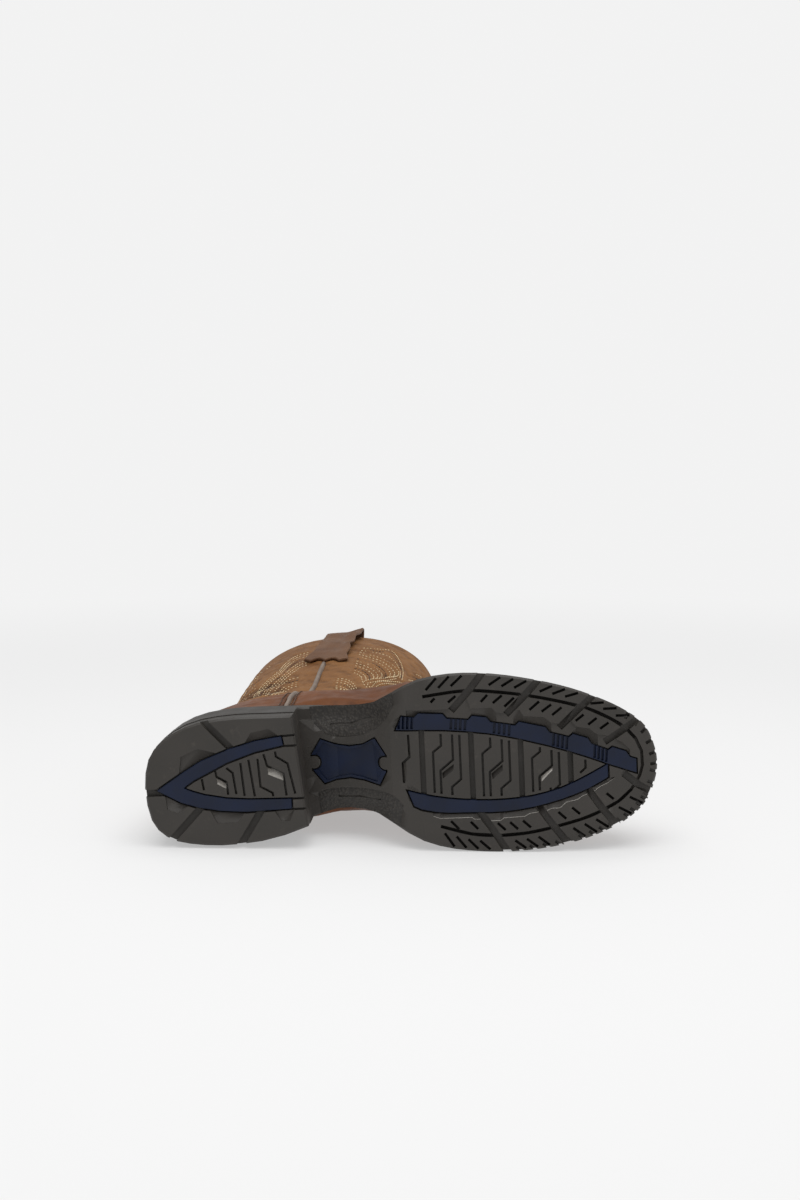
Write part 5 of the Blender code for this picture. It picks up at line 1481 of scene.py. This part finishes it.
# Plain finishes: scales of the colour, roughness and bump noise, with what each one ranges over
Finish = namedtuple("Finish", "tone low high patch smooth rough grain height bump specular sheen")
FINISHES = {
    # Painted shade: near-black rubber for the walls of the slit and the sipes, where shade falls in the
    # grooves
    "groove_rubber": Finish((150, 4), (22, 20, 18), (32, 29, 27), (300, 3), 0.75, 0.90,
                            (1200, 3), 0.00015, 0.4, 0.25, 0.0),
    # Painted highlight: pale grey rubber for the lit shelf wall and sloped pockets, where light from above
    # falls
    "polished_rubber": Finish((120, 4), (148, 144, 138), (176, 172, 166), (260, 3), 0.28, 0.40,
                              (1400, 3), 0.00008, 0.3, 0.6, 0.0),
    "lining_cloth": Finish((60, 4), (150, 126, 98), (176, 152, 122), (1900, 2), 0.80, 0.92,
                           (1900, 2), 0.00015, 0.5, 0.3, 0.2),
    "cream_thread": Finish((500, 3), (196, 170, 128), (222, 200, 160), (900, 2), 0.55, 0.70,
                           (3500, 2), 0.00006, 0.5, 0.4, 0.15),
    "brown_thread": Finish((500, 3), (66, 44, 30), (92, 64, 44), (900, 2), 0.55, 0.70,
                           (3500, 2), 0.00006, 0.5, 0.4, 0.15),
    "trim_leather": Finish((150, 5), (104, 90, 80), (136, 122, 110), (300, 3), 0.42, 0.56,
                           (1200, 4), 0.00010, 0.4, 0.5, 0.0),
    "insole_cover": Finish((90, 4), (150, 130, 104), (174, 152, 124), (400, 3), 0.80, 0.92,
                           (1600, 3), 0.00012, 0.4, 0.3, 0.0),
}


def plain_material(name):
    made, row = Nodes(name), FINISHES[name]
    colour = made.mix(made.ramp(made.noise(*row.tone), 0.3, 0.7), linear(*row.low), linear(*row.high))
    roughness = made.ramp(made.noise(*row.patch), 0.3, 0.7, row.smooth, row.rough)
    normal = made.bump(made.noise(*row.grain), row.height, row.bump)
    return made.finish(colour, roughness, normal, specular=row.specular, sheen=row.sheen)


# Stage: floor, light and camera
BACKDROP = 0.89
AMBIENT = 0.54
FLOOR_SHADE = 0.84
FLOOR_REACH = 30.0
FLOOR_GLOW = 0.45
FLOOR_ROUGHNESS = 0.9
FLOOR_SPECULAR = 0.1
FLOOR_FADE_START = 0.34
FLOOR_FADE_END = 1.25
CAMERA_OFFSET = (0.1936, -0.9204, 0.2621)
CAMERA_PITCH = math.radians(6.8)
CAMERA_YAW = math.radians(-2.4)
FOCAL_PIXELS = 1570.0
PHOTO_HEIGHT = 1200
SENSOR = 36.0
CLIP_START = 0.01


def build_floor():
    """Pale floor that turns into the backdrop's own shade away from the boot."""
    mesh = bpy.data.meshes.new("studio_floor")
    reach = FLOOR_REACH
    mesh.from_pydata([(-reach, -reach, 0), (reach, -reach, 0), (reach, reach, 0), (-reach, reach, 0)], [],
                     [(0, 1, 2, 3)])
    material = bpy.data.materials.new("studio_floor_paper")
    material.use_nodes = True
    tree = material.node_tree
    shader = tree.nodes["Principled BSDF"]
    shader.inputs["Base Color"].default_value = (FLOOR_SHADE, FLOOR_SHADE, FLOOR_SHADE, 1)
    shader.inputs["Roughness"].default_value = FLOOR_ROUGHNESS
    shader.inputs["Specular IOR Level"].default_value = FLOOR_SPECULAR
    glow = tree.nodes.new("ShaderNodeEmission")
    glow.inputs["Color"].default_value = (BACKDROP, BACKDROP, BACKDROP, 1)
    places = tree.nodes.new("ShaderNodeTexCoord")
    distance = tree.nodes.new("ShaderNodeVectorMath")
    distance.operation = "LENGTH"
    fade = tree.nodes.new("ShaderNodeMapRange")
    fade.interpolation_type = "SMOOTHSTEP"
    fade.inputs["From Min"].default_value = FLOOR_FADE_START
    fade.inputs["From Max"].default_value = FLOOR_FADE_END
    fade.inputs["To Min"].default_value = FLOOR_GLOW
    blend = tree.nodes.new("ShaderNodeMixShader")
    tree.links.new(places.outputs["Object"], distance.inputs[0])
    tree.links.new(distance.outputs["Value"], fade.inputs["Value"])
    tree.links.new(fade.outputs["Result"], blend.inputs["Fac"])
    tree.links.new(shader.outputs["BSDF"], blend.inputs[1])
    tree.links.new(glow.outputs["Emission"], blend.inputs[2])
    tree.links.new(blend.outputs["Shader"], tree.nodes["Material Output"].inputs["Surface"])
    mesh.materials.append(material)
    floor = link("studio_floor", mesh)


Lamp = namedtuple("Lamp", "name place target size power")
LAMPS = [Lamp(*row) for row in (
    ("overhead_softbox", (0.05, -0.30, 1.50), (0.0, -0.05, 0.0), 1.6, 19.0),
    ("front_fill", (-0.50, -1.60, 0.90), (0.0, -0.1, 0.05), 1.2, 0.8),
)]


def build_lights():
    world_light = bpy.data.worlds.new("studio_backdrop")
    world_light.use_nodes = True
    tree = world_light.node_tree
    seen = tree.nodes["Background"]
    seen.inputs["Color"].default_value = (BACKDROP, BACKDROP, BACKDROP, 1)
    ambient = tree.nodes.new("ShaderNodeBackground")
    ambient.inputs["Color"].default_value = (AMBIENT, AMBIENT, AMBIENT, 1)
    rays = tree.nodes.new("ShaderNodeLightPath")
    blend = tree.nodes.new("ShaderNodeMixShader")
    tree.links.new(rays.outputs["Is Camera Ray"], blend.inputs["Fac"])
    tree.links.new(ambient.outputs["Background"], blend.inputs[1])
    tree.links.new(seen.outputs["Background"], blend.inputs[2])
    tree.links.new(blend.outputs["Shader"], tree.nodes["World Output"].inputs["Surface"])
    bpy.context.scene.world = world_light
    for lamp in LAMPS:
        light = bpy.data.lights.new(lamp.name, "AREA")
        light.size = lamp.size
        light.energy = lamp.power
        body = link(lamp.name, light)
        body.location = lamp.place
        aim = Vector(lamp.target) - Vector(lamp.place)
        body.rotation_euler = aim.to_track_quat("-Z", "Y").to_euler()


def build_camera():
    """Camera at the photograph's place: before the tread, a little above the boot."""
    camera = bpy.data.cameras.new("photo_camera")
    camera.sensor_fit = "VERTICAL"
    camera.sensor_height = SENSOR
    camera.lens = SENSOR * FOCAL_PIXELS / PHOTO_HEIGHT
    camera.clip_start = CLIP_START
    body = link("photo_camera", camera)
    body.location = Vector(cad_bounds[0]) + Vector(CAMERA_OFFSET)
    level = math.cos(CAMERA_PITCH)
    ahead = Vector((math.sin(CAMERA_YAW) * level, math.cos(CAMERA_YAW) * level, -math.sin(CAMERA_PITCH)))
    right = Vector((math.cos(CAMERA_YAW), -math.sin(CAMERA_YAW), 0))
    above = right.cross(ahead)
    body.rotation_euler = Matrix((right, above, -ahead)).transposed().to_euler()
    bpy.context.scene.camera = body


def dress(node, material):
    """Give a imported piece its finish."""
    target = frame["nodes"][node]
    target.data.materials.clear()
    target.data.materials.append(material)


def build_boot():
    rubber, navy = rubber_material(), navy_material()
    foot, shaft, strap, edge = (leather_material(name) for name in LEATHERS)
    trim, cream, brown = (plain_material(name) for name in ("trim_leather", "cream_thread", "brown_thread"))

    # The third finish is the painted groove shade and the fourth the painted highlight
    build_tread(rubber, pebbled_rubber_material(), plain_material("groove_rubber"),
                plain_material("polished_rubber"))
    build_inserts(navy)
    dress("insole", plain_material("insole_cover"))

    routes = shaft_stitch_routes()
    build_shaft(shaft, plain_material("lining_cloth"), edge, routes)
    build_overlay("vamp_leather", "front", VAMP_COLUMNS, foot, "vamp")
    build_overlay("counter_leather", "back", COUNTER_COLUMNS, foot, "counter")
    for side in ("lateral", "medial"):
        build_piping(side, trim)
        build_strap(side, strap)
    brown_runs = routes[BROWN_EVERY - 1::BROWN_EVERY]
    cream_runs = [run for index, run in enumerate(routes) if index % BROWN_EVERY != BROWN_EVERY - 1]
    build_stitches("shaft_stitching", cream_runs, -PUCKER * STITCH_SINK, cream)
    build_stitches("shaft_stitching_brown", brown_runs, -PUCKER * STITCH_SINK, brown)
    edges = [overlay_edge_routes(part, inset) for part in ("front", "back") for inset in EDGE_INSETS]
    edges += [seam_routes(side, distance, *SEAM_ROWS)
              for side in ("lateral", "medial") for distance in (-SEAM_DISTANCE, SEAM_DISTANCE)]
    build_stitches("foot_stitching", edges, JOINT_GAP + OVERLAY, brown)


bpy.context.scene.view_settings.view_transform = "Standard"
build_floor()
build_lights()
build_camera()
build_boot()
